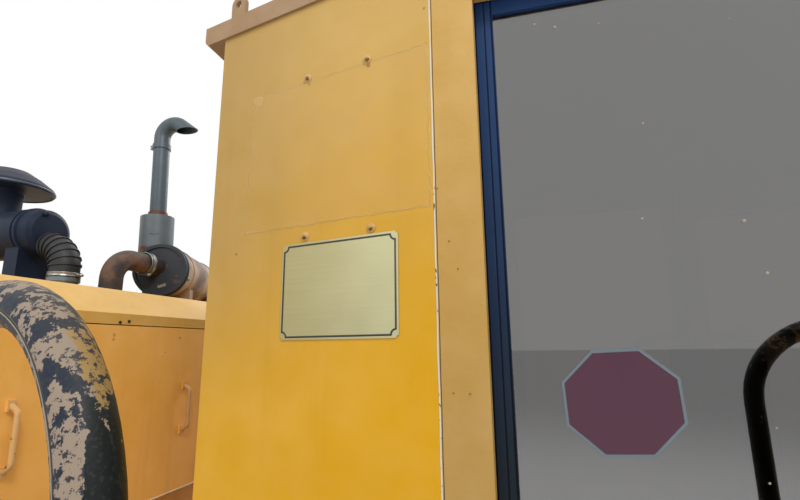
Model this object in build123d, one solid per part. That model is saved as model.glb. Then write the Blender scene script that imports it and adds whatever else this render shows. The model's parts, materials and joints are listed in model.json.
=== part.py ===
from build123d import *
import math
import os

# Ballast tamper, a self-propelled rail maintenance machine.
# Millimetres. +X runs along the machine from the engine to the tamping heads,
# +Z is up, and the origin lies on the floor under the middle of the machine.
# "right" in a name is the side at -Y, "left" the side at +Y.
# Pieces are drawn on the +Y side unless they say otherwise, and mirrored.

os.makedirs("parts", exist_ok=True)

SIDES = (("right", -1), ("left", 1))
TOUCH_GAP = 0.3             # between pieces that move against each other

# ---- stations along the machine ----
HALF_LENGTH = 3500.0        # tow lug tips, each end
TOW_REACH = 60.0
END_T = 40.0
END_X = HALF_LENGTH - TOW_REACH - END_T
REAR_AXLE_X = -END_X + 1100.0
FRONT_AXLE_X = END_X - 400.0
HOOD_X = (-END_X + 300.0, -END_X + 2500.0)
BAY_LENGTH = 900.0
BAY_X = (FRONT_AXLE_X - 380.0 - BAY_LENGTH, FRONT_AXLE_X - 380.0)
CAB_X = (-386.0, 99.0, BAY_X[0] - 70.0)     # rear wall, bend of the side, front wall

# ---- wheels and axles ----
GAUGE_BACK = 680.0          # inner face of each wheel from the middle
FLANGE_R = 305.0
TREAD_R = 280.0
FLANGE_W = 30.0
RIM_W = 135.0
RIM_T = 48.0
WEB_T = 26.0
HUB_R = 100.0
AXLE_R = 65.0
JOURNAL_R = 50.0
JOURNAL_END = 960.0
AXLES = (("rear", REAR_AXLE_X, -1), ("front", FRONT_AXLE_X, 1))     # name, x, shoe side
AXLE_Z = FLANGE_R
BOX_HALF_X = 105.0
BOX_Y = (896.0, 975.0)
BOX_HALF_Z = 100.0
BOX_COVER_R = 74.0
HORN_Y = (868.0, 884.0)     # plate that guides the box
HORN_SLIDE = 2.0
HORN_TOP_HALF = 240.0
HORN_FOOT_W = 52.0
SPRING_Y = (905.0, 965.0)
LEAF_T = 12.0
LEAF_HALVES = (110.0, 165.0, 215.0, 258.0, 290.0)     # shortest leaf first
LEAF_BEND_R = 1150.0
SHOE_GAP = 6.0              # shoe to tread, released
SHOE_T = 42.0
SHOE_RISE = 150.0
SHOE_DROP = 330.0
GEAR_CASE_R = 170.0

# ---- frame and deck ----
FRAME_TOP = 650.0
BEAM_Y = (290.0, 370.0)
BEAM_Z = 420.0
DECK_EDGE = 1260.0
DECK_T = 10.0
DECK_TOP = FRAME_TOP + DECK_T
DECK_LIP = 60.0
DECK_SEAM = 4.0
SILL_Y = (DECK_EDGE - 240.0, DECK_EDGE - 180.0)
SILL_Z = 480.0
CROSS_T = 60.0
CROSS_XS = (REAR_AXLE_X - 420.0, REAR_AXLE_X + 420.0, HOOD_X[1] + 80.0, 80.0,
            (80.0 + CAB_X[2]) / 2, BAY_X[0] - CROSS_T, BAY_X[1] + CROSS_T / 2)
BAY_OUT_Y = 1010.0          # outer edge of the opening for the heads

# ---- entry ----
ENTRY_X = 343.0             # middle of the entry
ENTRY_HALF = 360.0          # to each handrail post
RAIL_R = 19.0
POST_Y = DECK_EDGE - 57.5
RAIL_Z = 1687.0
RAIL_BEND = 166.0
RAIL_KNEE = (420.0, 119.0)     # first run of the rail's top: along, inwards
RAIL_END_Y = 712.0
RAIL_FLANGE_T = 8.0
STEP_ZS = (250.0, 455.0)
STEP_HALF = 250.0
STEP_Y = (DECK_EDGE - 175.0, DECK_EDGE - 42.0)
STEP_T = 8.0

# ---- engine hood ----
HOOD_Y = 740.0
HOOD_FOLD_Z = 1752.0
HOOD_TOP_Z = 1833.0
HOOD_SLOPE_W = 100.0
HOOD_SEAM_Z = 1721.0
HOOD_SKIN = 5.0
HOOD_POST = 40.0
HOOD_SILL_H = 70.0
PANEL_LOW_Z = 1202.0
PANEL_T = 6.0
HANDLE_YS = (-610.0, -54.0)
HANDLE_Z = 1460.0
HANDLE_HALF = 70.0
HANDLE_OUT = 26.0
HANDLE_R = 6.5
HINGE_R = 11.0
HINGE_PIN_R = 6.0
HINGE_OUT = 6.0             # hinge axis beyond the door's face
HINGE_IN = 13.0             # hinge axis from the hood's corner
HINGE_ZS = (860.0, 1210.0, 1560.0)
HINGE_H = 60.0
LOUVRE_ROWS = 10
LOUVRE_PITCH = 50.0
LOUVRE_HALF = 200.0
LOUVRE_OUT = 14.0
SLAT_COUNT = 22

# ---- exhaust ----
ELBOW_R = 38.0
ELBOW_X = -1204.0
ELBOW_Y = -100.0
ELBOW_Z = 1979.0
MUFFLER_R = 104.0
MUFFLER_AT = (-1182.0, 100.0, 1963.0)
MUFFLER_YAW = 22.0          # from +Y towards -X
MUFFLER_LEN = 520.0
MUFFLER_BANDS = (110.0, 420.0)
STACK_X = -1270.0
STACK_Y = 165.0
STACK_LEAN = 2.5            # towards -X
STACK_R = 33.0
STACK_WALL = 3.0
STACK_BEND = 58.0
STACK_TURN = 130.0          # of the bent tip, from straight up
STACK_CUT = 74.0            # level end of the tip below its top
SLEEVE_R = 66.0
SLEEVE_Z = (2051.0, 2202.0)
STACK_TOP_Z = 2660.0

# ---- air intake ----
CLEANER_Y = -192.0
CLEANER_Z = 2063.0
CLEANER_R = 88.0
CLEANER_X = (-1956.0, -1396.0)
CAP_X = -1647.0
CAP_R = 150.0
CAP_Z = (2241.0, 2331.0)
NECK_R = 53.0
HOSE_R = 46.0
HOSE_Z = 2012.0
HOSE_X = -1312.0
HOSE_BEND = 86.0
HOSE_LOW_Z = 1894.0
HOSE_RIBS = 7
BREATHER_AT = (-1587.0, -12.0)
BREATHER_TOP = 2158.0

# ---- cab ----
CAB_HALF = 740.0
CAB_SLOPE = 12.0            # turn of the sign panels
CAB_REAR_HALF = CAB_HALF - (CAB_X[1] - CAB_X[0]) * math.tan(math.radians(CAB_SLOPE))
CAB_OUT = ((CAB_X[0], -CAB_REAR_HALF), (CAB_X[1], -CAB_HALF), (CAB_X[2], -CAB_HALF),
           (CAB_X[2], CAB_HALF), (CAB_X[1], CAB_HALF), (CAB_X[0], CAB_REAR_HALF))
WALL_T = 30.0
CAB_FLOOR_TOP = 700.0
CAB_WALL_TOP = 2328.0
FASCIA_H = 45.0
FASCIA_OUT = 6.0
FASCIA_END = 52.0
CROWN_H = 22.0
CROWN_IN = (50.0, 130.0)    # foot and top of the roof's crown from its edge
PILLAR_X = (CAB_X[1], 173.0)
DOOR_OPEN_X = (PILLAR_X[1], 835.0)
DOOR_TOP = 2240.0
DOOR_X = (PILLAR_X[1] - 15.0, DOOR_OPEN_X[1] + 15.0)
DOOR_GAP = 6.0
DOOR_T = 30.0
DOOR_FACE = CAB_HALF - WALL_T - DOOR_GAP
DOOR_Z = (CAB_FLOOR_TOP + 12.0, DOOR_TOP + 22.0)
DOOR_STILE = 46.0
DOOR_GLASS_Z = (1330.0, 2215.0)
# upright grooves of the door's leading edge: x from the door's edge, width, depth
STILE_GROOVES = ((11.0, 6.0, 12.0), (30.5, 2.5, 5.0), (42.0, 3.0, 6.0))
HANGER_T = 9.4
HANGER_H = 32.0
HANGER_IN = 102.0
SIDE_WIN_X = (930.0, CAB_X[2] - 180.0)
SIDE_WIN_Z = (1330.0, 2180.0)
FRONT_WIN_Y = 600.0
FRONT_WIN_Z = (1080.0, 2200.0)
REAR_WIN_Y = 440.0
REAR_WIN_Z = (1560.0, 2180.0)
WINDOW_R = 45.0
GLASS_T = 6.0
GLASS_SET = 7.0             # door glass behind the door's face
LUG_W = 40.0
LUG_H = 50.0
LUG_T = 10.0
LUG_HOLE_R = 8.5
LUG_U = 455.0               # along the sign panel from its front edge
PLAQUE_U = (64.0, 303.0)    # along the sign panel from its front edge
PLAQUE_Z = (1663.0, 1835.0)
PLAQUE_T = 2.0
PLAQUE_NOTCH = 9.0
SIGN_AT = (351.0, 1570.0)
SIGN_HALF = 78.0
SIGN_SQUASH = 0.93
SIGN_TURN = 2.5
SEAT_X = CAB_X[2] - 720.0
SEAT_H = 300.0
DESK_X = (CAB_X[2] - 320.0, CAB_X[2] - 90.0)

# ---- tamping heads ----
HEAD_X = (BAY_X[0] + BAY_X[1]) / 2 - 10.0
HEAD_Y = 753.0              # over the rail
GUIDE_DX = 170.0
GUIDE_Y = 435.0
GUIDE_R = 30.0
GUIDE_GAP = 0.6
MAST_POST = 60.0
MAST_Y = (395.0, 475.0)
MAST_TOP = 2350.0
MAST_BEAM_H = 60.0
MAST_GUSSET = 110.0
SLEEVE_OUT_R = 50.0
HEAD_SLEEVE_Z = (1270.0, 1640.0)
BACK_Y = (GUIDE_Y + 48.0, GUIDE_Y + 76.0)
LIFT_ROD_R = 24.0
LIFT_BARREL_R = 45.0
LIFT_BARREL_Z = 1700.0
ARM_DX = 230.0              # arm pivots either side of the head's middle
ARM_Z = 1000.0
ARM_PIN_R = 42.0
ARM_PIN_GAP = 1.0
ARM_LEVER = 300.0
ARM_LEAN = 5.0              # lever's lean inwards, half the arm's swing
ARM_BOSS_R = 60.0
ARM_PLATE_T = 44.0
LEVER_T = 36.0
LEVER_PIN_R = 14.0
TINE_DX = 330.0
TINE_DY = 175.0
TINE_TOP_Z = 600.0
TINE_TIP_Z = 130.0
TINE_SOCKET_R = 40.0
TINE_R = (25.0, 19.0)
PADDLE_HALF = 60.0
CHEEK_DY = 125.0
CHEEK_T = 28.0
SQUEEZE_Z = ARM_Z + ARM_LEVER * (1 + math.cos(math.radians(ARM_LEAN))) / 2
SQUEEZE_ROD_R = 18.0
BARREL_R = 36.0
BARREL_X = (45.0, 150.0)
EYE_X = ARM_DX - ARM_LEVER * math.sin(math.radians(ARM_LEAN))
EYE_GAP = 1.6
EYE_HALF_Y = 33.0
SHAFT_R = 48.0
MOTOR_R = 56.0

# ---- tanks, tow lugs and lamps ----
TANK_X = (HOOD_X[1] - 880.0, HOOD_X[1])
TANK_Y = (420.0, 950.0)
TANK_Z = (300.0, 560.0)
TANK_ROUND = 45.0
TOW_PIN_R = 16.0
TOW_EAR_T = 25.0
TOW_ZS = (470.0, 540.0)     # underside of each ear
LAMP_R = 62.0
LAMP_DEPTH = 70.0


def ordered(pair):
    return min(pair), max(pair)


def block(x, y, z):
    """Box from its three ranges, each given in any order."""
    ranges = [ordered(pair) for pair in (x, y, z)]
    centre = [(low + high) / 2 for low, high in ranges]
    return Pos(*centre) * Box(*[high - low for low, high in ranges])


def bar(start, end, radius):
    """Round bar between two points."""
    run = Vector(*end) - Vector(*start)
    return Solid.make_cylinder(radius, run.length, Plane(origin=start, z_dir=run))


def pipe(start, end, radius, bore):
    return bar(start, end, radius) - bar(start, end, bore)


def plane_y(y):
    """Plane whose own x and y are the machine's x and z, facing -Y."""
    return Plane(origin=(0, y, 0), x_dir=(1, 0, 0), z_dir=(0, -1, 0))


def plane_x(x):
    """Plane whose own x and y are the machine's y and z, facing +X."""
    return Plane(origin=(x, 0, 0), x_dir=(0, 1, 0), z_dir=(1, 0, 0))


def outline(points):
    return make_face(Polyline(*points, close=True))


def slab_y(points, y):
    """Outline given as (x, z), extruded over a range of y."""
    low, high = ordered(y)
    return extrude(plane_y(high) * outline(points), amount=high - low)


def slab_x(points, x):
    """Outline given as (y, z), extruded over a range of x."""
    low, high = ordered(x)
    return extrude(plane_x(low) * outline(points), amount=high - low)


def slab_z(points, z):
    """Outline given as (x, y), extruded over a range of z."""
    low, high = ordered(z)
    return extrude(Plane(origin=(0, 0, low)) * outline(points), amount=high - low)


def rounded_y(x, y, z, radius):
    """Rounded rectangle seen along Y."""
    low, high = ordered(y)
    middle = Pos((x[0] + x[1]) / 2, (z[0] + z[1]) / 2)
    shape = middle * RectangleRounded(x[1] - x[0], z[1] - z[0], radius)
    return extrude(plane_y(high) * shape, amount=high - low)


def rounded_x(x, half_y, z, radius):
    """Rounded rectangle seen along X, centred on the machine."""
    low, high = ordered(x)
    shape = Pos(0, (z[0] + z[1]) / 2) * RectangleRounded(2 * half_y, z[1] - z[0], radius)
    return extrude(plane_x(low) * shape, amount=high - low)


def turned(profile, origin, axis):
    """Outline given as (radius, length), turned about a line through a point."""
    along = Vector(*axis)
    side = Vector(1, 0, 0) if abs(along.X) < 0.9 else Vector(0, 1, 0)
    side = (side - along * side.dot(along)).normalized()
    plane = Plane(origin=origin, x_dir=side, z_dir=side.cross(along))
    return revolve(plane * outline(profile), axis=Axis(origin, along), revolution_arc=360)


def bent_bar(points, radius, bend):
    """Round bar along straight runs joined by equal bends."""
    path = FilletPolyline(*points, radius=bend)
    start = Vector(*points[0])
    face = Plane(origin=start, z_dir=Vector(*points[1]) - start) * Circle(radius)
    return sweep(face, path=path)


def mirrored(shape):
    return mirror(shape, about=Plane.XZ)


def on_side(shape, sign):
    return shape if sign > 0 else mirrored(shape)


def both_sides(shape):
    return [shape, mirrored(shape)]


def save(name, *shapes):
    solids = []
    for shape in shapes:
        solids += list(shape.solids())
    whole = solids[0] if len(solids) == 1 else Compound(children=solids)
    export_step(whole, "parts/" + name + ".step")


# ---- running gear ----

def wheel(x):
    """Flanged wheel with its dished web, from the hub outwards and back."""
    outer = RIM_W
    web = RIM_W / 2
    rim_in = TREAD_R - RIM_T
    profile = (
        (AXLE_R, -15), (HUB_R, -15), (HUB_R + 12, web - 8 - WEB_T / 2),
        (rim_in - 10, web + 6 - WEB_T / 2), (rim_in, 0), (FLANGE_R - 8, 0),
        (FLANGE_R, 8), (FLANGE_R, 17), (TREAD_R + 5, FLANGE_W),
        (TREAD_R, FLANGE_W + 10), (TREAD_R - 4, outer - 6), (TREAD_R - 10, outer),
        (rim_in, outer), (rim_in - 10, web + 6 + WEB_T / 2), (HUB_R + 12, web - 8 + WEB_T / 2),
        (HUB_R, outer + 10), (AXLE_R, outer + 10))
    return turned(profile, (x, GAUGE_BACK, AXLE_Z), (0, 1, 0))


def axle(x):
    """Axle with raised wheel seats and turned-down journals."""
    seat = GAUGE_BACK + RIM_W + 12
    profile = ((0, -JOURNAL_END), (JOURNAL_R, -JOURNAL_END), (JOURNAL_R, -seat), (AXLE_R, -seat),
               (AXLE_R, -GAUGE_BACK + 40), (AXLE_R - 8, -GAUGE_BACK + 60),
               (AXLE_R - 8, GAUGE_BACK - 60), (AXLE_R, GAUGE_BACK - 40), (AXLE_R, seat),
               (JOURNAL_R, seat), (JOURNAL_R, JOURNAL_END), (0, JOURNAL_END))
    return turned(profile, (x, 0, AXLE_Z), (0, 1, 0))


def axle_box(x):
    """Box round one journal, narrower at its foot, with its round cover."""
    half, low, high = BOX_HALF_X, AXLE_Z - BOX_HALF_Z, AXLE_Z + BOX_HALF_Z
    shape = ((x - half, high), (x - half, low + 60), (x - half + 45, low), (x + half - 45, low),
             (x + half, low + 60), (x + half, high))
    body = slab_y(shape, BOX_Y)
    body += block((x - half, x + half), (HORN_Y[0] - 8, BOX_Y[0]), (low + 60, high))
    for side in (-1, 1):
        edge = x + side * half
        body -= block((edge - side * 12, edge + side), (HORN_Y[0] - TOUCH_GAP, HORN_Y[1] + TOUCH_GAP),
                      (low, high + 1))
    cover = turned(((0, 0), (BOX_COVER_R, 0), (BOX_COVER_R, 10), (BOX_COVER_R - 12, 14),
                    (BOX_COVER_R - 26, 32), (0, 36)), (x, BOX_Y[1], AXLE_Z), (0, 1, 0))
    seat = block((x - 42, x + 42), SPRING_Y, (high, high + 6))
    bore = bar((x, HORN_Y[0] - 20, AXLE_Z), (x, JOURNAL_END + 4, AXLE_Z), JOURNAL_R + 0.5)
    return body + cover + seat - bore


def horn_plate(x):
    """Forked plate hung from the frame, whose slot guides one axle box."""
    slot = BOX_HALF_X - 12 + HORN_SLIDE
    top, foot = HORN_TOP_HALF, slot + HORN_FOOT_W
    low = AXLE_Z - BOX_HALF_Z - 15
    roof = AXLE_Z + BOX_HALF_Z + 20
    half = ((slot, low), (foot, low), (foot + 8, AXLE_Z), (top, FRAME_TOP - 110), (top, FRAME_TOP))
    right = [(x + dx, z) for dx, z in half]
    left = [(x - dx, z) for dx, z in reversed(half)]
    shape = right + left + [(x - slot, roof), (x + slot, roof)]
    plate = slab_y(shape, HORN_Y)
    flange = block((x - top, x + top), (HORN_Y[1], SILL_Y[0]), (FRAME_TOP - 14, FRAME_TOP))
    return plate + flange


def leaf_spring(x):
    """Curved leaves on the axle box, their ends hung from the frame."""
    low = AXLE_Z + BOX_HALF_Z + 6
    centre = low + LEAF_BEND_R
    pack = block((x - 38, x + 38), SPRING_Y, (low, low + LEAF_T * len(LEAF_HALVES) + 12))
    for index, half in enumerate(LEAF_HALVES):
        outer = LEAF_BEND_R - index * LEAF_T
        y0, y1 = SPRING_Y
        ring = pipe((x, y0, centre), (x, y1, centre), outer, outer - LEAF_T)
        pack += ring & block((x - half, x + half), SPRING_Y, (low, low + 300))
    reach = LEAF_HALVES[-1]
    inner = LEAF_BEND_R - (len(LEAF_HALVES) - 1) * LEAF_T
    tip = centre - math.sqrt(inner ** 2 - reach ** 2)
    inside = (SPRING_Y[0] - 8, SPRING_Y[0])
    outside = (SPRING_Y[1], SPRING_Y[1] + 8)
    for side in (-1, 1):
        at = x + side * (reach - 6)
        pack += bar((at, inside[0], tip + 8), (at, outside[1], tip + 8), 15)
        pack += block((at - 9, at + 9), inside, (tip - 6, FRAME_TOP - 14))
        pack += block((at - 9, at + 9), outside, (tip - 6, FRAME_TOP - 14))
        pack += block((at - 28, at + 28), (inside[0], SILL_Y[0]), (FRAME_TOP - 26, FRAME_TOP))
    return pack


def brake_shoe(x, side):
    """Shoe beside one wheel's tread, with its hanger to the frame."""
    y0 = GAUGE_BACK + FLANGE_W + 14
    y = (y0, y0 + 80)
    outer = TREAD_R + SHOE_GAP + SHOE_T
    wedge = slab_y(((x, AXLE_Z), (x + side * 500, AXLE_Z + SHOE_RISE),
                    (x + side * 500, AXLE_Z - SHOE_DROP)), y)
    shoe = wedge & bar((x, y[0], AXLE_Z), (x, y[1], AXLE_Z), outer)
    shoe -= bar((x, y[0] - 1, AXLE_Z), (x, y[1] + 1, AXLE_Z), TREAD_R + SHOE_GAP)
    near = x + side * (outer - 4)
    far = x + side * (outer + 34)
    hanger = slab_y(((near, AXLE_Z - 50), (far, AXLE_Z - 50), (far + side * 10, FRAME_TOP),
                     (far - side * 22, FRAME_TOP)), (y0 + 28, y0 + 52))
    hanger -= bar((x, y[0] - 1, AXLE_Z), (x, y[1] + 1, AXLE_Z), outer - 2)
    return shoe + hanger


def gear_case(x):
    """Case round the driven axle with its flanged input, and the arm that holds it."""
    body = bar((x, -95, AXLE_Z), (x, 95, AXLE_Z), GEAR_CASE_R)
    body += block((x + 60, x + 300), (-80, 80), (AXLE_Z - 60, AXLE_Z + 95))
    body += bar((x + 300, 0, AXLE_Z + 20), (x + 345, 0, AXLE_Z + 20), 60)
    body += block((x + 180, x + 240), (-40, 40), (AXLE_Z + 95, BEAM_Z + 20))
    inner = (BEAM_Y[0] + BEAM_Y[1]) / 2 - 7
    body += block((x + 180, x + 240), (-inner, inner), (BEAM_Z + 20, BEAM_Z + 60))
    return body - bar((x, -120, AXLE_Z), (x, 120, AXLE_Z), AXLE_R - 7.5)


def running_gear():
    boxes, holders, shoes = [], [], []
    for name, x, shoe_side in AXLES:
        save(name + "_wheels", *both_sides(wheel(x)))
        save(name + "_axle", axle(x))
        boxes += both_sides(axle_box(x))
        holders += both_sides(horn_plate(x)) + both_sides(leaf_spring(x))
        shoes += both_sides(brake_shoe(x, shoe_side))
    save("axle_boxes", *boxes, gear_case(REAR_AXLE_X))
    save("axle_guides_and_springs", *holders)
    save("brake_shoes", *shoes)


# ---- frame, deck and entry ----

def i_beam(x, y, z):
    """Beam along X with its flanges top and bottom."""
    flange, web = 16.0, 14.0
    middle = (y[0] + y[1]) / 2
    shape = ((y[0], z[0]), (y[1], z[0]), (y[1], z[0] + flange), (middle + web / 2, z[0] + flange),
             (middle + web / 2, z[1] - flange), (y[1], z[1] - flange), (y[1], z[1]), (y[0], z[1]),
             (y[0], z[1] - flange), (middle - web / 2, z[1] - flange),
             (middle - web / 2, z[0] + flange), (y[0], z[0] + flange))
    return slab_x(shape, x)


def channel(x, y, z):
    """Sill along X, its back facing outwards at the larger y."""
    wall = 12.0
    shape = ((y[0], z[0]), (y[1], z[0]), (y[1], z[1]), (y[0], z[1]), (y[0], z[1] - wall),
             (y[1] - wall, z[1] - wall), (y[1] - wall, z[0] + wall), (y[0], z[0] + wall))
    return slab_x(shape, x)


def main_frame():
    run = (-END_X, END_X)
    beams = both_sides(i_beam(run, BEAM_Y, (BEAM_Z, FRAME_TOP)))
    sills = both_sides(channel(run, SILL_Y, (SILL_Z, FRAME_TOP)))
    save("frame_beams", *beams, *sills)
    members = []
    for x in CROSS_XS:
        span = (x - CROSS_T / 2, x + CROSS_T / 2)
        members.append(block(span, (-BEAM_Y[0], BEAM_Y[0]), (BEAM_Z + 20, FRAME_TOP)))
        members += both_sides(block(span, (BEAM_Y[1], SILL_Y[0]), (SILL_Z + 20, FRAME_TOP)))
    for side in (-1, 1):
        shape = ((-DECK_EDGE, DECK_TOP), (-DECK_EDGE, BEAM_Z + 90), (-DECK_EDGE + 130, BEAM_Z - 20),
                 (DECK_EDGE - 130, BEAM_Z - 20), (DECK_EDGE, BEAM_Z + 90), (DECK_EDGE, DECK_TOP))
        members.append(slab_x(shape, (side * END_X, side * (END_X + END_T))))
    save("frame_cross_members", *members)


def deck():
    inner = CAB_HALF + 8
    # side walkway plates: x from, x to, y from
    walks = (
        (-END_X, HOOD_X[1] - DECK_SEAM / 2, inner),
        (HOOD_X[1] + DECK_SEAM / 2, BAY_X[0] - DECK_SEAM, inner),
        (BAY_X[0], BAY_X[1], BAY_OUT_Y),
        (BAY_X[1] + DECK_SEAM, END_X, inner))
    made = []
    for x0, x1, y0 in walks:
        plate = block((x0, x1), (y0, DECK_EDGE), (FRAME_TOP, DECK_TOP))
        lip = block((x0, x1), (DECK_EDGE - DECK_T, DECK_EDGE), (FRAME_TOP - DECK_LIP, FRAME_TOP))
        made += both_sides(plate + lip)
    # middle plates: x from, x to
    middles = ((-END_X, HOOD_X[0] - DECK_SEAM), (HOOD_X[1] + DECK_SEAM, CAB_X[0] - DECK_SEAM),
               (BAY_X[1] + DECK_SEAM, END_X))
    half = inner - DECK_SEAM
    for x0, x1 in middles:
        made.append(block((x0, x1), (-half, half), (FRAME_TOP, DECK_TOP)))
    save("deck_plates", *made)


def entry_steps():
    """Two folded treads between cheek plates, hung below the deck."""
    y0, y1 = STEP_Y
    low = STEP_ZS[0] - 24
    cheek = ((y0 + 30, FRAME_TOP), (y0 + 15, STEP_ZS[1] - 40), (y0, low + 40), (y0 + 30, low),
             (y1, low), (y1, FRAME_TOP))
    x = (ENTRY_X - STEP_HALF, ENTRY_X + STEP_HALF)
    steps = slab_x(cheek, (x[0] - 5, x[0] + 5)) + slab_x(cheek, (x[1] - 5, x[1] + 5))
    for z in STEP_ZS:
        tread = ((y0 + 16, z), (y1, z), (y1, z - 40), (y1 - STEP_T, z - 40), (y1 - STEP_T, z - STEP_T),
                 (y0 + 16, z - STEP_T))
        steps += slab_x(tread, x)
    return steps


def handrail(side):
    """One loop of the entry: side -1 ends on the hood, +1 on the cab."""
    x = ENTRY_X + side * ENTRY_HALF
    run = (x - HOOD_X[1]) + 10 if side < 0 else 890.0
    knee = (x + side * RAIL_KNEE[0], POST_Y - RAIL_KNEE[1])
    end = (x + side * run, RAIL_END_Y, RAIL_Z)
    high = (RAIL_Z - 32, RAIL_Z + 32)
    points = ((x, POST_Y, DECK_TOP + RAIL_FLANGE_T), (x, POST_Y, RAIL_Z), (*knee, RAIL_Z), end)
    rail = bent_bar(points, RAIL_R, RAIL_BEND)
    if side < 0:
        rail -= block((HOOD_X[1] - 100, HOOD_X[1]), (RAIL_END_Y - 100, CAB_HALF + 60), high)
        rail += block((HOOD_X[1], HOOD_X[1] + RAIL_FLANGE_T), (HOOD_Y - 65, HOOD_Y - 5), high)
    else:
        rail -= block((x, x + run + 60), (RAIL_END_Y - 100, CAB_HALF), high)
        slope = (knee[1] - RAIL_END_Y) / (run - RAIL_KNEE[0])
        meet = knee[0] + (knee[1] - CAB_HALF) / slope
        rail += block((meet - 80, meet + 50), (CAB_HALF, CAB_HALF + RAIL_FLANGE_T), high)
    foot = bar((x, POST_Y - 10, DECK_TOP), (x, POST_Y - 10, DECK_TOP + RAIL_FLANGE_T), 42)
    return rail + foot


def entry():
    save("entry_steps", *both_sides(entry_steps()))
    save("handrails", *both_sides(handrail(-1)), *both_sides(handrail(1)))


# ---- engine hood ----

def hood_cover(inset, low, top):
    """Solid under the roof cover: a skirt below, a slope along every edge above."""
    x = (HOOD_X[0] + inset, HOOD_X[1] - inset)
    y = HOOD_Y - inset
    skirt = block(x, (-y, y), (low, HOOD_FOLD_Z))
    length = x[1] - x[0]
    middle = (x[0] + x[1]) / 2
    base = Pos(middle, 0, HOOD_FOLD_Z) * Rectangle(length, 2 * y)
    flat = Rectangle(length - 2 * HOOD_SLOPE_W, 2 * y - 2 * HOOD_SLOPE_W)
    return skirt + loft([base, Pos(middle, 0, top) * flat])


def hinge_point(end):
    """Hinge axis of a side door, at the hood's rear (-1) or front (+1)."""
    corner = HOOD_X[0] if end < 0 else HOOD_X[1] - PANEL_T
    return corner - end * HINGE_IN, HOOD_Y + HINGE_OUT


def hood_door(end):
    """Side door with its louvres, latch and hinge knuckles."""
    hx, hy = hinge_point(end)
    middle = (HOOD_X[0] + HOOD_X[1]) / 2
    x = (hx - end * HINGE_IN, middle + end * 6)
    z = (FRAME_TOP + HOOD_SILL_H + 8, HOOD_SEAM_Z - 8)
    leaf = block(x, (HOOD_Y - HOOD_SKIN, HOOD_Y), z)
    centre = (x[0] + x[1]) / 2
    for column in (-1, 1):
        at = centre + column * (LOUVRE_HALF + 40)
        for row in range(LOUVRE_ROWS):
            low = z[0] + 240 + row * LOUVRE_PITCH
            hooded = ((HOOD_Y, low), (HOOD_Y + LOUVRE_OUT, low), (HOOD_Y + LOUVRE_OUT, low + 4),
                      (HOOD_Y + 9, low + 17), (HOOD_Y, low + 28))
            leaf += slab_x(hooded, (at - LOUVRE_HALF, at + LOUVRE_HALF))
    latch = x[1] + end * 60
    knob = z[0] + 480
    leaf += bar((latch, HOOD_Y, knob), (latch, HOOD_Y + 12, knob), 24)
    leaf += block((latch - 7, latch + 7), (HOOD_Y + 12, HOOD_Y + 22), (knob - 80, knob + 20))
    for at in HINGE_ZS:
        span = (at - HINGE_H / 2, at + HINGE_H / 2)
        leaf += bar((hx, hy, span[0]), (hx, hy, span[1]), HINGE_R)
        leaf += block((hx, x[0]), (hy - 8, hy - 3), span)
        leaf += block((x[0], x[0] - end * 70), (HOOD_Y, hy - 3), span)
    for at in HINGE_ZS:
        leaf -= bar((hx, hy, at - HINGE_H), (hx, hy, at + HINGE_H), HINGE_PIN_R + TOUCH_GAP)
    return leaf


def hinge_pins(end):
    """Pins of one side door, each held by two lugs on the hood's corner post."""
    hx, hy = hinge_point(end)
    made = []
    for at in HINGE_ZS:
        reach = HINGE_H / 2 + 24
        pin = bar((hx, hy, at - reach), (hx, hy, at + reach), HINGE_PIN_R)
        for side in (-1, 1):
            z = ordered((at + side * (HINGE_H / 2 + 1), at + side * reach))
            pin += bar((hx, hy, z[0]), (hx, hy, z[1]), HINGE_R)
            pin += block((hx - 7, hx + 7), (HOOD_Y - HOOD_SKIN - 1, hy), z)
        made.append(pin)
    return made


def hood_frame():
    """Sill with its three posts, and the pins of the two side doors."""
    low = FRAME_TOP + HOOD_SILL_H
    post_y = (HOOD_Y - HOOD_SKIN - HOOD_POST, HOOD_Y - HOOD_SKIN - 1)
    comb = block((HOOD_X[0], HOOD_X[1] - PANEL_T), (HOOD_Y - 60, HOOD_Y), (FRAME_TOP, low))
    for x in (HOOD_X[0], (HOOD_X[0] + HOOD_X[1] - HOOD_POST) / 2, HOOD_X[1] - PANEL_T - HOOD_POST):
        comb += block((x, x + HOOD_POST), post_y, (low, HOOD_SEAM_Z))
    for end in (-1, 1):
        for pin in hinge_pins(end):
            comb += pin
    return comb


def panel_handle(y):
    """Bent rod with flattened feet, standing on the end panel."""
    face = HOOD_X[1]
    points = ((face + 4, y, HANDLE_Z - HANDLE_HALF),
              (face + HANDLE_OUT, y, HANDLE_Z - HANDLE_HALF + 14),
              (face + HANDLE_OUT, y, HANDLE_Z + HANDLE_HALF - 14),
              (face + 4, y, HANDLE_Z + HANDLE_HALF))
    rod = bent_bar(points, HANDLE_R, 10.0)
    for side in (-1, 1):
        at = HANDLE_Z + side * HANDLE_HALF
        rod += block((face, face + HANDLE_R + 1), (y - 9, y + 9), (at - 12, at + 12))
    return rod


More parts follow.
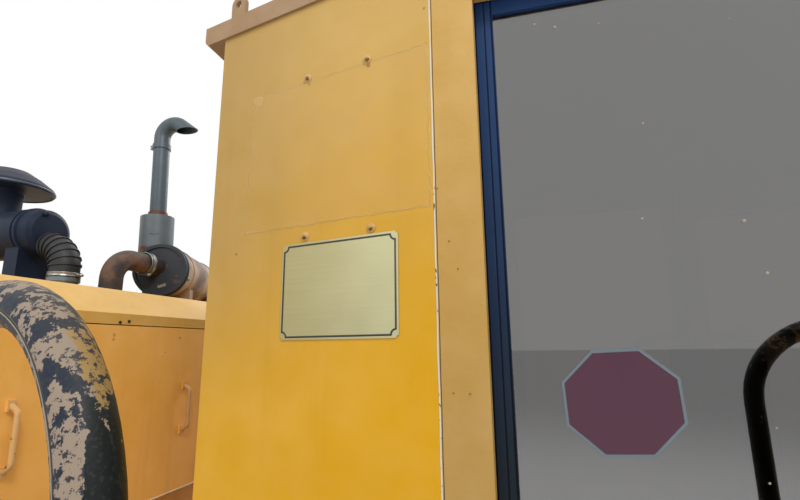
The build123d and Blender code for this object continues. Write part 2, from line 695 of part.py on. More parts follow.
def hood():
    save("hood_frame", *both_sides(hood_frame()))
    outer = hood_cover(0.0, HOOD_SEAM_Z, HOOD_TOP_Z)
    save("hood_roof", outer - hood_cover(HOOD_SKIN, HOOD_SEAM_Z - 1, HOOD_TOP_Z - HOOD_SKIN))
    for name, end in (("rear", -1), ("front", 1)):
        door = hood_door(end)
        for side, sign in SIDES:
            save("hood_door_" + side + "_" + name, on_side(door, sign))
    face = HOOD_X[1]
    half = HOOD_Y - 5
    panel = block((face - PANEL_T, face), (-half, half), (PANEL_LOW_Z, HOOD_SEAM_Z - 3))
    for y in HANDLE_YS:
        panel += panel_handle(y)
    back = face - PANEL_T - HOOD_POST
    half = HOOD_Y - HOOD_SKIN - 3
    lower = block((back - 4, back), (-half, half), (FRAME_TOP + HOOD_SILL_H, PANEL_LOW_Z - 12))
    save("hood_end_panels", panel, lower)


def radiator():
    """Grille of slanted slats at the hood's rear end, with the core behind it."""
    x = (HOOD_X[0], HOOD_X[0] + 30)
    sill = FRAME_TOP + HOOD_SILL_H
    low, high = FRAME_TOP, HOOD_SEAM_Z
    half = HOOD_Y - HOOD_SKIN - HOOD_POST
    ring = block(x, (-half, half), (low, high))
    for side in (-1, 1):
        ring -= block((x[0] - 1, x[1] + 1), (side * (HOOD_Y - 60), side * HOOD_Y), (low - 1, sill))
    open_z = (low + 80, high - 60)
    grille = ring - block((x[0] - 1, x[1] + 1), (-half + 60, half - 60), open_z)
    pitch = (open_z[1] - open_z[0]) / (SLAT_COUNT + 1)
    for row in range(SLAT_COUNT):
        at = open_z[0] + pitch * (row + 1)
        slat = ((x[0] + 4, at - 12), (x[0] + 9, at - 12), (x[1] - 6, at + 12), (x[1] - 11, at + 12))
        grille += slab_y(slat, (-half + 55, half - 55))
    for y in (-220.0, 220.0):
        grille += block((x[0] + 2, x[1] - 2), (y - 10, y + 10), (open_z[0] - 5, open_z[1] + 5))
    core = block((x[1], x[1] + 110), (-600, 600), (low + 40, high - 40))
    save("radiator", grille + core)


def engine():
    whole = block((HOOD_X[0] + 600, HOOD_X[1] - 450), (-340, 340), (FRAME_TOP + 20, 1480))
    for x in (HOOD_X[0] + 700, HOOD_X[1] - 550):
        for y in (-325, 325):
            whole += block((x - 50, x + 50), (y - 40, y + 40), (FRAME_TOP, FRAME_TOP + 20))
    save("engine_block", whole)


# ---- exhaust and air intake ----

def muffler():
    """Drum with lipped ends, two bands and its saddles on the roof."""
    yaw = math.radians(MUFFLER_YAW)
    run = Vector(-math.sin(yaw), math.cos(yaw), 0)
    cross = Vector(run.Y, -run.X, 0)
    start = Vector(*MUFFLER_AT)
    r, length = MUFFLER_R, MUFFLER_LEN
    profile = ((0, 6), (r - 12, 6), (r - 12, 0), (r, 0), (r, 14), (r + 4, 16), (r + 4, 24), (r, 26),
               (r, length), (r - 12, length), (r - 12, length - 6), (0, length - 6))
    whole = turned(profile, start, run)
    for at in MUFFLER_BANDS:
        middle = start + run * at
        whole += bar(middle - run * 14, middle + run * 14, r + 3)
        plane = Plane(origin=(middle.X, middle.Y, HOOD_TOP_Z), x_dir=cross, z_dir=(0, 0, 1))
        whole += extrude(plane * Rectangle(190, 40), amount=60)
    return whole


def stack():
    """Silencer sleeve on its neck, and the pipe with its clamp and bent tip."""
    x, y = STACK_X, STACK_Y
    low, high = SLEEVE_Z
    foot = STACK_TOP_Z - STACK_R - STACK_BEND
    reach = STACK_BEND * math.tan(math.radians(STACK_TURN / 2))
    corner = (x, y, foot + reach)
    turn = math.radians(STACK_TURN)
    end = (x + (reach + 80) * math.sin(turn), y, corner[2] + (reach + 80) * math.cos(turn))
    clamp_z = foot - 53
    whole = bar((x, y, low), (x, y, high), SLEEVE_R)
    whole += bar((x, y, MUFFLER_AT[2] + 20), (x, y, low), STACK_R)
    whole += bar((x, y, high), (x, y, high + 22), STACK_R + 5)
    whole += bar((x, y, clamp_z), (x, y, clamp_z + 22), STACK_R + 4)
    whole += bent_bar(((x, y, high - 5), corner, end), STACK_R, STACK_BEND)
    whole -= bent_bar(((x, y, high + 60), corner, end), STACK_R - STACK_WALL, STACK_BEND)
    whole -= block((x + STACK_R + 8, x + 300), (y - 60, y + 60), (foot - 60, STACK_TOP_Z - STACK_CUT))
    return whole.rotate(Axis((x, y, low), (0, 1, 0)), -STACK_LEAN)


def exhaust():
    whole = muffler()
    save("muffler", whole)
    points = ((ELBOW_X, ELBOW_Y, HOOD_TOP_Z), (ELBOW_X, ELBOW_Y, ELBOW_Z),
              (ELBOW_X, MUFFLER_AT[1] + 60, ELBOW_Z))
    elbow = bent_bar(points, ELBOW_R, 80.0)
    elbow += bar((ELBOW_X, MUFFLER_AT[1] - 62, ELBOW_Z), (ELBOW_X, MUFFLER_AT[1] - 40, ELBOW_Z),
                 ELBOW_R + 4)
    save("exhaust_elbow", elbow - whole)
    save("exhaust_stack", stack() - whole)


def air_cleaner():
    """Drum with its end cover, two bands, feet, and the round cap on its neck."""
    x0, x1 = CLEANER_X
    r = CLEANER_R
    length = x1 - x0
    profile = ((0, 0), (r - 10, 0), (r, 10), (r, length - 64), (r + 4, length - 62),
               (r + 4, length - 52), (r - 2, length - 50), (r - 6, length - 14),
               (r - 22, length - 4), (0, length))
    body = turned(profile, (x0, CLEANER_Y, CLEANER_Z), (1, 0, 0))
    for x in (x0 + 120, x1 - 112):
        body += bar((x, CLEANER_Y, CLEANER_Z), (x + 40, CLEANER_Y, CLEANER_Z), r + 3)
        body += block((x, x + 60), (CLEANER_Y - 66, CLEANER_Y + 66), (HOOD_TOP_Z, CLEANER_Z - 50))
    low, high = CAP_Z
    neck_foot = CLEANER_Z + CLEANER_R - 18
    rise = high - low
    profile = ((0, neck_foot), (NECK_R, neck_foot), (NECK_R, low - 8), (NECK_R + 8, low),
               (CAP_R - 12, low + 3), (CAP_R - 3, low), (CAP_R, low + 6), (CAP_R, low + 15),
               (CAP_R - 5, low + 0.24 * rise), (CAP_R * 0.72, low + 0.57 * rise),
               (CAP_R * 0.45, high - 0.14 * rise),
               (CAP_R * 0.2, high - 2), (0, high))
    return body + turned(profile, (CAP_X, CLEANER_Y, 0), (0, 0, 1))


def intake_hose():
    """Bent hose with ribs round its bend."""
    points = ((CLEANER_X[1] - 4, CLEANER_Y, HOSE_Z), (HOSE_X, CLEANER_Y, HOSE_Z),
              (HOSE_X, CLEANER_Y, HOSE_LOW_Z))
    hose = bent_bar(points, HOSE_R, HOSE_BEND)
    centre = Vector(HOSE_X - HOSE_BEND, CLEANER_Y, HOSE_Z - HOSE_BEND)
    for rib in range(HOSE_RIBS):
        angle = math.radians(90.0 * (rib + 0.5) / HOSE_RIBS)
        out = Vector(math.sin(angle), 0, math.cos(angle))
        along = Vector(math.cos(angle), 0, -math.sin(angle))
        middle = centre + out * HOSE_BEND
        hose += bar(middle - along * 3, middle + along * 3, HOSE_R + 4)
    return hose


def intake():
    cleaner = air_cleaner()
    save("air_cleaner", cleaner)
    stub = bar((HOSE_X, CLEANER_Y, HOOD_TOP_Z), (HOSE_X, CLEANER_Y, HOSE_LOW_Z), HOSE_R - 1)
    stub += bar((HOSE_X, CLEANER_Y, HOSE_LOW_Z - 14), (HOSE_X, CLEANER_Y, HOSE_LOW_Z), HOSE_R + 4)
    save("intake_hose", intake_hose() - cleaner - stub)
    breather = bar((*BREATHER_AT, HOOD_TOP_Z), (*BREATHER_AT, BREATHER_TOP), 13)
    save("roof_pipes", stub, breather)


# ---- cab ----

def unit(a, b):
    run = Vector(b[0] - a[0], b[1] - a[1], 0)
    return run / run.length


def offset_outline(points, inset):
    """Outline of the same shape, its sides moved inwards."""
    made = []
    count = len(points)
    for index, point in enumerate(points):
        before = unit(points[index - 1], point)
        after = unit(point, points[(index + 1) % count])
        half = Vector(-before.Y - after.Y, before.X + after.X, 0)
        half = half * (inset * 2 / half.dot(half))
        made.append((point[0] + half.X, point[1] + half.Y))
    return made


CAB_IN = offset_outline(CAB_OUT, WALL_T)
PANEL_RUN = unit(CAB_OUT[1], CAB_OUT[0])    # along the right sign panel, towards the rear


def wall(index):
    """Full-height wall on one side of the cab's outline, mitred at its ends."""
    after = (index + 1) % len(CAB_OUT)
    points = (CAB_OUT[index], CAB_OUT[after], CAB_IN[after], CAB_IN[index])
    return slab_z(points, (CAB_FLOOR_TOP, CAB_WALL_TOP))


def side_region(x, z):
    return block(x, (CAB_HALF - WALL_T - 1, CAB_HALF + 1), z)


def door_track():
    """Rail inside the header, with the slot that the door's hangers run in."""
    face = CAB_HALF - WALL_T
    z = (DOOR_Z[1] + 6, DOOR_Z[1] + 40)
    rail = block((DOOR_X[0] + 20, CAB_X[2] - 50), (DOOR_FACE - DOOR_T - 8, face), z)
    middle = DOOR_FACE - DOOR_T / 2
    half = HANGER_T / 2 + TOUCH_GAP
    return rail - block((DOOR_X[0], CAB_X[2] - 60), (middle - half, middle + half),
                        (DOOR_Z[1], DOOR_Z[1] + HANGER_H))


def cab_walls():
    save("cab_floor", slab_z(CAB_OUT, (FRAME_TOP, CAB_FLOOR_TOP)))
    save("sign_panels", wall(0), wall(4))
    around = (CAB_X[0] - 20, CAB_X[0] + WALL_T + 20)
    rear = wall(5) - rounded_x(around, REAR_WIN_Y, REAR_WIN_Z, WINDOW_R)
    around = (CAB_X[2] - WALL_T - 20, CAB_X[2] + 20)
    front = wall(2) - rounded_x(around, FRONT_WIN_Y, FRONT_WIN_Z, WINDOW_R)
    save("cab_end_walls", rear, front)
    side = wall(3)
    height = (CAB_FLOOR_TOP, CAB_WALL_TOP)
    pillar = side & side_region((CAB_X[0], PILLAR_X[1]), height)
    header = side & side_region((PILLAR_X[1] + 0.5, DOOR_OPEN_X[1]), (DOOR_TOP, CAB_WALL_TOP))
    rest = side & side_region((DOOR_OPEN_X[1], CAB_X[2] + 1), height)
    rest -= rounded_y(SIDE_WIN_X, (CAB_HALF - WALL_T - 1, CAB_HALF + 1), SIDE_WIN_Z, WINDOW_R)
    save("door_frames", *both_sides(pillar), *both_sides(header + door_track()))
    save("side_walls", *both_sides(rest))


def cab_glass():
    """Fixed panes, each set in the middle of its wall."""
    middle = CAB_HALF - WALL_T / 2
    side = rounded_y(SIDE_WIN_X, (middle - GLASS_T / 2, middle + GLASS_T / 2), SIDE_WIN_Z, WINDOW_R)
    front_x = CAB_X[2] - WALL_T / 2
    front = rounded_x((front_x - GLASS_T / 2, front_x + GLASS_T / 2), FRONT_WIN_Y, FRONT_WIN_Z,
                      WINDOW_R)
    rear_x = CAB_X[0] + WALL_T / 2
    rear = rounded_x((rear_x - GLASS_T / 2, rear_x + GLASS_T / 2), REAR_WIN_Y, REAR_WIN_Z, WINDOW_R)
    save("cab_windows", front, rear, *both_sides(side))


def roof_outline(out, end):
    """Plan of the roof: the cab's outline moved out, and further at both ends."""
    wide = offset_outline(CAB_OUT, -out)
    low = Vector(*wide[0], 0) + PANEL_RUN * (end / abs(PANEL_RUN.X))
    front = CAB_X[2] + end
    return ((low.X, low.Y), wide[1], (front, wide[2][1]), (front, wide[3][1]), wide[4],
            (low.X, -low.Y))


def lifting_lug(x, y, run):
    """Upright plate with a round top and its hole, standing on the roof's edge."""
    top = CAB_WALL_TOP + FASCIA_H
    plane = Plane(origin=(x, y, top), x_dir=run, z_dir=Vector(run.Y, -run.X, 0))
    eye = LUG_H - LUG_W / 2
    shape = Rectangle(LUG_W, eye, align=(Align.CENTER, Align.MIN)) + Pos(0, eye) * Circle(LUG_W / 2)
    shape -= Pos(0, eye) * Circle(LUG_HOLE_R)
    return extrude(plane * shape, amount=-LUG_T)


def cab_roof():
    top = CAB_WALL_TOP + FASCIA_H
    edge = slab_z(roof_outline(FASCIA_OUT, FASCIA_END), (CAB_WALL_TOP, top))
    low = [e for e in edge.edges() if e.center().X < CAB_X[0] and abs(e.center().Y) < 1
           and e.center().Z < CAB_WALL_TOP + 1]
    edge = fillet(low, 14.0)
    faces = []
    for inset, z in ((CROWN_IN[0], top), (CROWN_IN[1], top + CROWN_H)):
        plan = roof_outline(FASCIA_OUT - inset, FASCIA_END - inset)
        faces.append(Plane(origin=(0, 0, z)) * outline(plan))
    save("cab_roof", edge + loft(faces))
    foot = Vector(*CAB_OUT[1], 0) + PANEL_RUN * LUG_U
    rear = lifting_lug(foot.X, foot.Y + 5, PANEL_RUN)
    front = lifting_lug(CAB_X[2] - 90.0, -CAB_HALF + 5, Vector(-1, 0, 0))
    save("lifting_lugs", *both_sides(rear), *both_sides(front))


def door_leaf():
    """Sliding door: ring round the glass, closed lower panel, ribbed leading edge."""
    y = (DOOR_FACE - DOOR_T, DOOR_FACE)
    leaf = block(DOOR_X, y, DOOR_Z)
    hole_x = (DOOR_X[0] + DOOR_STILE, DOOR_X[1] - DOOR_STILE)
    leaf -= block(hole_x, (y[0] - 1, y[1] + 1), DOOR_GLASS_Z)
    for at, wide, deep in STILE_GROOVES:
        x = DOOR_X[0] + at
        leaf -= block((x, x + wide), (y[1] - deep, y[1] + 1), (DOOR_Z[0] - 1, DOOR_Z[1] + 1))
    inset = (hole_x[0] + 30, hole_x[1] - 30)
    leaf -= rounded_y(inset, (y[1] - 6, y[1] + 1), (DOOR_Z[0] + 90, DOOR_GLASS_Z[0] - 60), 30.0)
    for x in (DOOR_X[0] + HANGER_IN, DOOR_X[1] - HANGER_IN):
        middle = DOOR_FACE - DOOR_T / 2
        leaf += block((x - 30, x + 30), (middle - HANGER_T / 2, middle + HANGER_T / 2),
                      (DOOR_Z[1], DOOR_Z[1] + HANGER_H - TOUCH_GAP))
    pull = DOOR_X[1] - 24.0
    return leaf - block((pull - 9, pull + 9), (y[1] - 12, y[1] + 1), (1130, 1270))


def door_pane():
    face = DOOR_FACE - GLASS_SET
    x = (DOOR_X[0] + DOOR_STILE, DOOR_X[1] - DOOR_STILE)
    return block(x, (face - GLASS_T, face), DOOR_GLASS_Z)


def door_notice():
    """Blank eight-sided notice on the outside of the right door's glass."""
    face = DOOR_FACE - GLASS_SET
    radius = SIGN_HALF / math.cos(math.radians(22.5))
    points = []
    for index in range(8):
        turn = math.radians(22.5 + SIGN_TURN + 45 * index)
        points.append((SIGN_AT[0] + radius * math.cos(turn),
                       SIGN_AT[1] + SIGN_SQUASH * radius * math.sin(turn)))
    return slab_y(points, (-face - 1.0, -face))


def cab_doors():
    leaf, pane = door_leaf(), door_pane()
    for name, sign in SIDES:
        save("cab_door_" + name, on_side(leaf, sign))
        save("door_glass_" + name, on_side(pane, sign))
    save("door_notice", door_notice())


def plaque():
    """Blank plate with notched corners, fixed on the right sign panel."""
    start = Vector(*CAB_OUT[1], 0)
    middle_u = (PLAQUE_U[0] + PLAQUE_U[1]) / 2
    at = start + PANEL_RUN * middle_u
    plane = Plane(origin=(at.X, at.Y, (PLAQUE_Z[0] + PLAQUE_Z[1]) / 2), x_dir=PANEL_RUN * -1,
                  z_dir=Vector(-PANEL_RUN.Y, PANEL_RUN.X, 0))
    half_w, half_h = (PLAQUE_U[1] - PLAQUE_U[0]) / 2, (PLAQUE_Z[1] - PLAQUE_Z[0]) / 2
    shape = Rectangle(2 * half_w, 2 * half_h)
    for u in (-half_w, half_w):
        for v in (-half_h, half_h):
            shape -= Pos(u, v) * Circle(PLAQUE_NOTCH / 2)
    save("plaque", extrude(plane * shape, amount=PLAQUE_T))


def cab_inside():
    floor = CAB_FLOOR_TOP
    top = floor + SEAT_H
    x = SEAT_X
    base = block((x - 150, x + 150), (-140, 140), (floor, top - 30))
    base += block((x - 230, x + 230), (-200, 200), (top - 30, top))
    base += block((x - 302, x - 230), (-60, 60), (top - 30, top))
    base += block((x - 302, x - 290), (-60, 60), (top, top + 560))
    desk = slab_y(((DESK_X[0] + 50, floor), (DESK_X[1], floor), (DESK_X[1], floor + 640),
                   (DESK_X[1] - 60, floor + 700), (DESK_X[0], floor + 620),
                   (DESK_X[0], floor + 560)), (-420, 420))
    foot = DESK_X[0] + 60
    for y in (-300.0, -260.0, 260.0, 300.0):
        desk += bar((foot, y, floor + 600), (foot - 20, y, floor + 760), 7)
        desk += Pos(foot - 20, y, floor + 765) * Sphere(15)
    save("cab_fixtures", base, desk)
    cushion = block((x - 230, x + 240), (-240, 240), (top, top + 100))
    back = block((x - 290, x - 190), (-230, 230), (top + 100 + TOUCH_GAP, top + 660))
    save("seat_cushions", cushion, back)


# ---- tamping heads ----

def mast_post(x, side):
    """Post with its gusset, which points to one side."""
    post = block((x, x + MAST_POST), MAST_Y, (FRAME_TOP, MAST_TOP - MAST_BEAM_H))
    edge = x + MAST_POST if side > 0 else x
    corner = ((edge, FRAME_TOP), (edge + side * MAST_GUSSET, FRAME_TOP),
              (edge, FRAME_TOP + MAST_GUSSET))
    middle = (MAST_Y[0] + MAST_Y[1]) / 2
    return post + slab_y(corner, (middle - 6, middle + 6))


def mast():
    rail = block((BAY_X[0] - CROSS_T / 2, BAY_X[1]), MAST_Y, (FRAME_TOP - 60, FRAME_TOP))
    rail += mast_post(BAY_X[0], 1) + mast_post(BAY_X[1] - MAST_POST, -1)
    save("mast_posts", *both_sides(rail))
    top = (MAST_TOP - MAST_BEAM_H, MAST_TOP)
    ring = block(BAY_X, (-MAST_Y[1], MAST_Y[1]), top)
    ring -= block((BAY_X[0] + MAST_POST, BAY_X[1] - MAST_POST), (-MAST_Y[0], MAST_Y[0]),
                  (top[0] - 1, top[1] + 1))
    save("mast_top", ring)
    r, length = GUIDE_R, top[0] - FRAME_TOP
    profile = ((0, 0), (r + 14, 0), (r + 14, 22), (r, 30), (r, length - 30), (r + 14, length - 22),
               (r + 14, length), (0, length))
    guides = []
    for side in (-1, 1):
        guides += both_sides(turned(profile, (HEAD_X + side * GUIDE_DX, GUIDE_Y, FRAME_TOP), (0, 0, 1)))
    save("guide_columns", *guides)


def lift_cylinder():
    """Barrel under the mast top with its end cap, gland and oil ports."""
    r = LIFT_BARREL_R
    low, high = LIFT_BARREL_Z, MAST_TOP - MAST_BEAM_H
    bore = LIFT_ROD_R + 7
    gland = LIFT_ROD_R + TOUCH_GAP
    length = high - low
    profile = ((gland, 0), (r + 6, 0), (r + 6, 50), (r, 56), (r, length - 60), (r + 6, length - 54),
               (r + 6, length - 20), (r, length), (0, length), (0, length - 30),
               (bore, length - 30), (bore, 60), (gland, 60))
    barrel = turned(profile, (HEAD_X, GUIDE_Y, low), (0, 0, 1))
    for z in (low + 90, high - 90):
        barrel += bar((HEAD_X, GUIDE_Y + r - 5, z), (HEAD_X, GUIDE_Y + r + 16, z), 12)
    return barrel


def cheek(y):
    """Side plate of a head, with both arm pivots and two lightening holes."""
    x, top = HEAD_X, SQUEEZE_Z + 85
    shape = ((x - 300, 940), (x + 300, 940), (x + 300, 1060), (x + 175, top), (x - 175, top),
             (x - 300, 1060))
    plate = slab_y(shape, y)
    wide = (y[0] - 1, y[1] + 1)
    for side in (-1, 1):
        pivot = x + side * ARM_DX
        plate -= bar((pivot, wide[0], ARM_Z), (pivot, wide[1], ARM_Z), ARM_PIN_R + ARM_PIN_GAP)
        hole = x + side * 80
        plate -= bar((hole, wide[0], 1190), (hole, wide[1], 1190), 34)
    return plate


def head_slide():
    """Back plate of one head with its two sleeves, bridge and lift rod."""
    z0, z1 = HEAD_SLEEVE_Z
    whole = block((HEAD_X - 230, HEAD_X + 230), BACK_Y, (930, z1))
    whole -= rounded_y((HEAD_X - 130, HEAD_X + 130), (BACK_Y[0] - 1, BACK_Y[1] + 1),
                       (z0 + 130, z1 - 90), 30.0)
    outer, bore = SLEEVE_OUT_R, GUIDE_R + GUIDE_GAP
    length = z1 - z0
    sleeve = ((bore, 0), (outer + 8, 0), (outer + 8, 18), (outer, 24), (outer, length - 24),
              (outer + 8, length - 18), (outer + 8, length), (bore, length))
    for side in (-1, 1):
        whole += turned(sleeve, (HEAD_X + side * GUIDE_DX, GUIDE_Y, z0), (0, 0, 1))
    reach = GUIDE_DX - outer + 6
    whole += block((HEAD_X - reach, HEAD_X + reach), (GUIDE_Y - 30, BACK_Y[0]), (z1 - 60, z1))
    whole += bar((HEAD_X, GUIDE_Y, z1), (HEAD_X, GUIDE_Y, LIFT_BARREL_Z + 540), LIFT_ROD_R)
    whole += bar((HEAD_X, GUIDE_Y, z1), (HEAD_X, GUIDE_Y, z1 + 24), LIFT_ROD_R + 12)
    return whole


def carriage():
    """Whole head frame: slide, two cheeks, web, shaft with its motor, two barrels."""
    whole = head_slide()
    near, far = HEAD_Y - CHEEK_DY, HEAD_Y + CHEEK_DY
    for y in (near, far):
        whole += cheek((y - CHEEK_T / 2, y + CHEEK_T / 2))
    whole += block((HEAD_X - 120, HEAD_X + 120), (BACK_Y[1], far), (1080, 1120))
    shaft_end = far + CHEEK_T / 2 + 12
    whole += bar((HEAD_X, BACK_Y[1], SQUEEZE_Z), (HEAD_X, shaft_end, SQUEEZE_Z), SHAFT_R)
    motor = ((0, 0), (MOTOR_R, 0), (MOTOR_R, 16), (MOTOR_R - 12, 20), (MOTOR_R - 12, 72),
             (MOTOR_R - 20, 78), (0, 78))
    whole += turned(motor, (HEAD_X, shaft_end, SQUEEZE_Z), (0, 1, 0))
    start, length = BARREL_X[0], BARREL_X[1] - BARREL_X[0]
    barrel = ((0, 0), (BARREL_R, 0), (BARREL_R, length - 22), (BARREL_R + 5, length - 20),
              (BARREL_R + 5, length), (0, length))
    for side in (-1, 1):
        whole += turned(barrel, (HEAD_X + side * start, HEAD_Y, SQUEEZE_Z), (side, 0, 0))
    for side in (-1, 1):
        whole -= bar((HEAD_X + side * (start + 10), HEAD_Y, SQUEEZE_Z),
                     (HEAD_X + side * (BARREL_X[1] + 5), HEAD_Y, SQUEEZE_Z), SQUEEZE_ROD_R + TOUCH_GAP)
    return whole


def tine(x, y):
    """Socket, tapered shank and pointed paddle, pointing down."""
    top, tip = TINE_TOP_Z, TINE_TIP_Z
    socket_low = top - 130
    profile = ((0, tip + 80), (TINE_R[1], tip + 80), (TINE_R[0], socket_low),
               (TINE_SOCKET_R - 6, socket_low), (TINE_SOCKET_R, socket_low + 8),
               (TINE_SOCKET_R, top), (0, top))
    made = turned(profile, (x, y, 0), (0, 0, 1))
    made += block((x - 22, x + 22), (y - TINE_SOCKET_R - 12, y + TINE_SOCKET_R + 12),
                  (socket_low + 20, socket_low + 62))
    half = PADDLE_HALF
    broad = slab_x(((y - 20, tip + 135), (y + 20, tip + 135), (y + half, tip + 80),
                    (y + half, tip + 22), (y + half - 14, tip), (y - half + 14, tip),
                    (y - half, tip + 22), (y - half, tip + 80)), (x - 40, x + 40))
    thin = slab_y(((x - 17, tip + 135), (x + 17, tip + 135), (x + 15, tip + 70), (x + 6, tip),
                   (x - 6, tip), (x - 15, tip + 70)), (y - half - 1, y + half + 1))
    return made + (broad & thin)


def arm_plate(x, foot, y):
    """Leg of an arm from its pivot down to a tine, hollowed on both faces."""
    top = ARM_Z + 20
    plate = slab_y(((x - 50, top), (x + 50, top), (foot + 40, TINE_TOP_Z),
                    (foot + 34, TINE_TOP_Z - 60), (foot - 34, TINE_TOP_Z - 60),
                    (foot - 40, TINE_TOP_Z)), y)
    lean = (foot - x) / (top - TINE_TOP_Z)
    high, low = ARM_Z - 80, TINE_TOP_Z + 40
    a, b = x + lean * (top - high), x + lean * (top - low)
    hollow = ((a - 26, high), (a + 26, high), (b + 20, low), (b - 20, low))
    plate -= slab_y(hollow, (y[0] - 1, y[0] + 11))
    plate -= slab_y(hollow, (y[1] - 11, y[1] + 1))
    return plate + bar((x, y[0] - 4, ARM_Z), (x, y[1] + 4, ARM_Z), ARM_BOSS_R)


def squeeze_arm(side):
    """Forked arm with a lever above its pivot and two tines; side -1 rear, +1 front."""
    x = HEAD_X + side * ARM_DX
    foot = HEAD_X + side * TINE_DX
    outer = TINE_DY + ARM_PLATE_T / 2 + 8
    made = bar((x, HEAD_Y - outer, ARM_Z), (x, HEAD_Y + outer, ARM_Z), ARM_PIN_R)
    top_x, top_z = HEAD_X + side * EYE_X, ARM_Z + ARM_LEVER * math.cos(math.radians(ARM_LEAN))
    y = (HEAD_Y - LEVER_T / 2, HEAD_Y + LEVER_T / 2)
    made += slab_y(((x - 46, ARM_Z), (x + 46, ARM_Z), (top_x + 24, top_z), (top_x - 24, top_z)), y)
    made += bar((x, y[0], ARM_Z), (x, y[1], ARM_Z), ARM_BOSS_R - 8)
    made += bar((top_x, y[0], top_z), (top_x, y[1], top_z), 27)
    made += bar((top_x, HEAD_Y - EYE_HALF_Y - 6, top_z), (top_x, HEAD_Y + EYE_HALF_Y + 6, top_z),
                LEVER_PIN_R)
    for dy in (-TINE_DY, TINE_DY):
        at = HEAD_Y + dy
        made += arm_plate(x, foot, (at - ARM_PLATE_T / 2, at + ARM_PLATE_T / 2))
        made += tine(foot, at)
    return made


def squeeze_rod(side):
    """Rod of a squeeze cylinder with the fork that takes the lever's pin."""
    eye = HEAD_X + side * EYE_X
    made = bar((HEAD_X + side * 70, HEAD_Y, SQUEEZE_Z), (eye - side * 34, HEAD_Y, SQUEEZE_Z),
               SQUEEZE_ROD_R)
    z = (SQUEEZE_Z - 22, SQUEEZE_Z + 22)
    made += block((eye - side * 46, eye - side * 32), (HEAD_Y - EYE_HALF_Y, HEAD_Y + EYE_HALF_Y), z)
    for ear in (-1, 1):
        y = ordered((HEAD_Y + ear * (LEVER_T / 2 + 3), HEAD_Y + ear * EYE_HALF_Y))
        made += block((eye - side * 34, eye), y, z)
        made += bar((eye, y[0], SQUEEZE_Z), (eye, y[1], SQUEEZE_Z), 22)
    reach = EYE_HALF_Y + 1
    return made - bar((eye, HEAD_Y - reach, SQUEEZE_Z), (eye, HEAD_Y + reach, SQUEEZE_Z),
                      LEVER_PIN_R + EYE_GAP)


def tamping():
    mast()
    save("lift_cylinders", *both_sides(lift_cylinder()))
    frame = carriage()
    for name, sign in SIDES:
        save("head_carriage_" + name, on_side(frame, sign))
    for end, side in (("rear", -1), ("front", 1)):
        arm, rod = squeeze_arm(side), squeeze_rod(side)
        for name, sign in SIDES:
            save("squeeze_arm_" + name + "_" + end, on_side(arm, sign))
            save("squeeze_rod_" + name + "_" + end, on_side(rod, sign))


# ---- tanks, tow lugs and lamps ----

def tank():
    """Tank with rounded long edges, hung by brackets and straps."""
    y, z = TANK_Y, TANK_Z
    middle = Pos((y[0] + y[1]) / 2, (z[0] + z[1]) / 2)
    shape = middle * RectangleRounded(y[1] - y[0], z[1] - z[0], TANK_ROUND)
    strap = middle * RectangleRounded(y[1] - y[0] + 8, z[1] - z[0] + 8, TANK_ROUND + 4)
    made = extrude(plane_x(TANK_X[0]) * shape, amount=TANK_X[1] - TANK_X[0])
    for x in (TANK_X[0] + 120, TANK_X[1] - 120):
        made += block((x - 25, x + 25), (BEAM_Y[1], y[0]), (BEAM_Z - 6, BEAM_Z + 10))
        made += block((x - 25, x + 25), (y[1], SILL_Y[0]), (SILL_Z - 6, SILL_Z + 10))
        made += extrude(plane_x(x - 20) * strap, amount=40)
    filler = TANK_X[1] - 90
    return made + bar((filler, y[1] - 5, z[1] - 70), (filler, y[1] + 34, z[1] - 50), 36)


def tow_lug(side):
    """Clevis on one end beam with an upright pin hole."""
    x0, x1 = side * (END_X + END_T), side * HALF_LENGTH
    pin = side * (HALF_LENGTH - 30)
    made = rounded_x((x0, x0 + side * 12), 90, (TOW_ZS[0] - 40, TOW_ZS[1] + 65), 14.0)
    shape = ((x0, -60), (pin, -34), (x1, -18), (x1, 18), (pin, 34), (x0, 60))
    for z in TOW_ZS:
        made += slab_z(shape, (z, z + TOW_EAR_T))
    return made - bar((pin, 0, TOW_ZS[0] - 20), (pin, 0, TOW_ZS[1] + 60), TOW_PIN_R)


def lamp(x, y, z, side, depth):
    """Round lamp with a rim and a domed back, facing along X."""
    r = LAMP_R
    profile = ((0, 0), (r * 0.5, 0), (r * 0.85, depth * 0.35), (r - 5, depth * 0.75),
               (r, depth * 0.78), (r, depth), (r - 6, depth), (r - 8, depth - 4), (0, depth - 4))
    return turned(profile, (x, y, z), (side, 0, 0))


def ends():
    save("tow_lugs", tow_lug(-1), tow_lug(1))
    save("underframe_tanks", *both_sides(tank()))
    roof_z = CAB_WALL_TOP + FASCIA_H
    front = CAB_X[2] + FASCIA_END
    lamps = []
    for sign in (-1, 1):
        y = sign * 380
        stalk = block((front - 36, front - 8), (y - 16, y + 16), (roof_z, roof_z + 34))
        lamps.append(stalk + lamp(front - 62, y, roof_z + 20 + LAMP_R, 1, LAMP_DEPTH))
        for end in (-1, 1):
            lamps.append(lamp(end * (END_X + END_T), sign * 900, 570, end, 46))
    save("work_lamps", *lamps)


running_gear()
main_frame()
deck()
entry()
hood()
radiator()
engine()
exhaust()
intake()
cab_walls()
cab_glass()
cab_roof()
cab_doors()
plaque()
cab_inside()
tamping()
ends()
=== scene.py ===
import json
import math

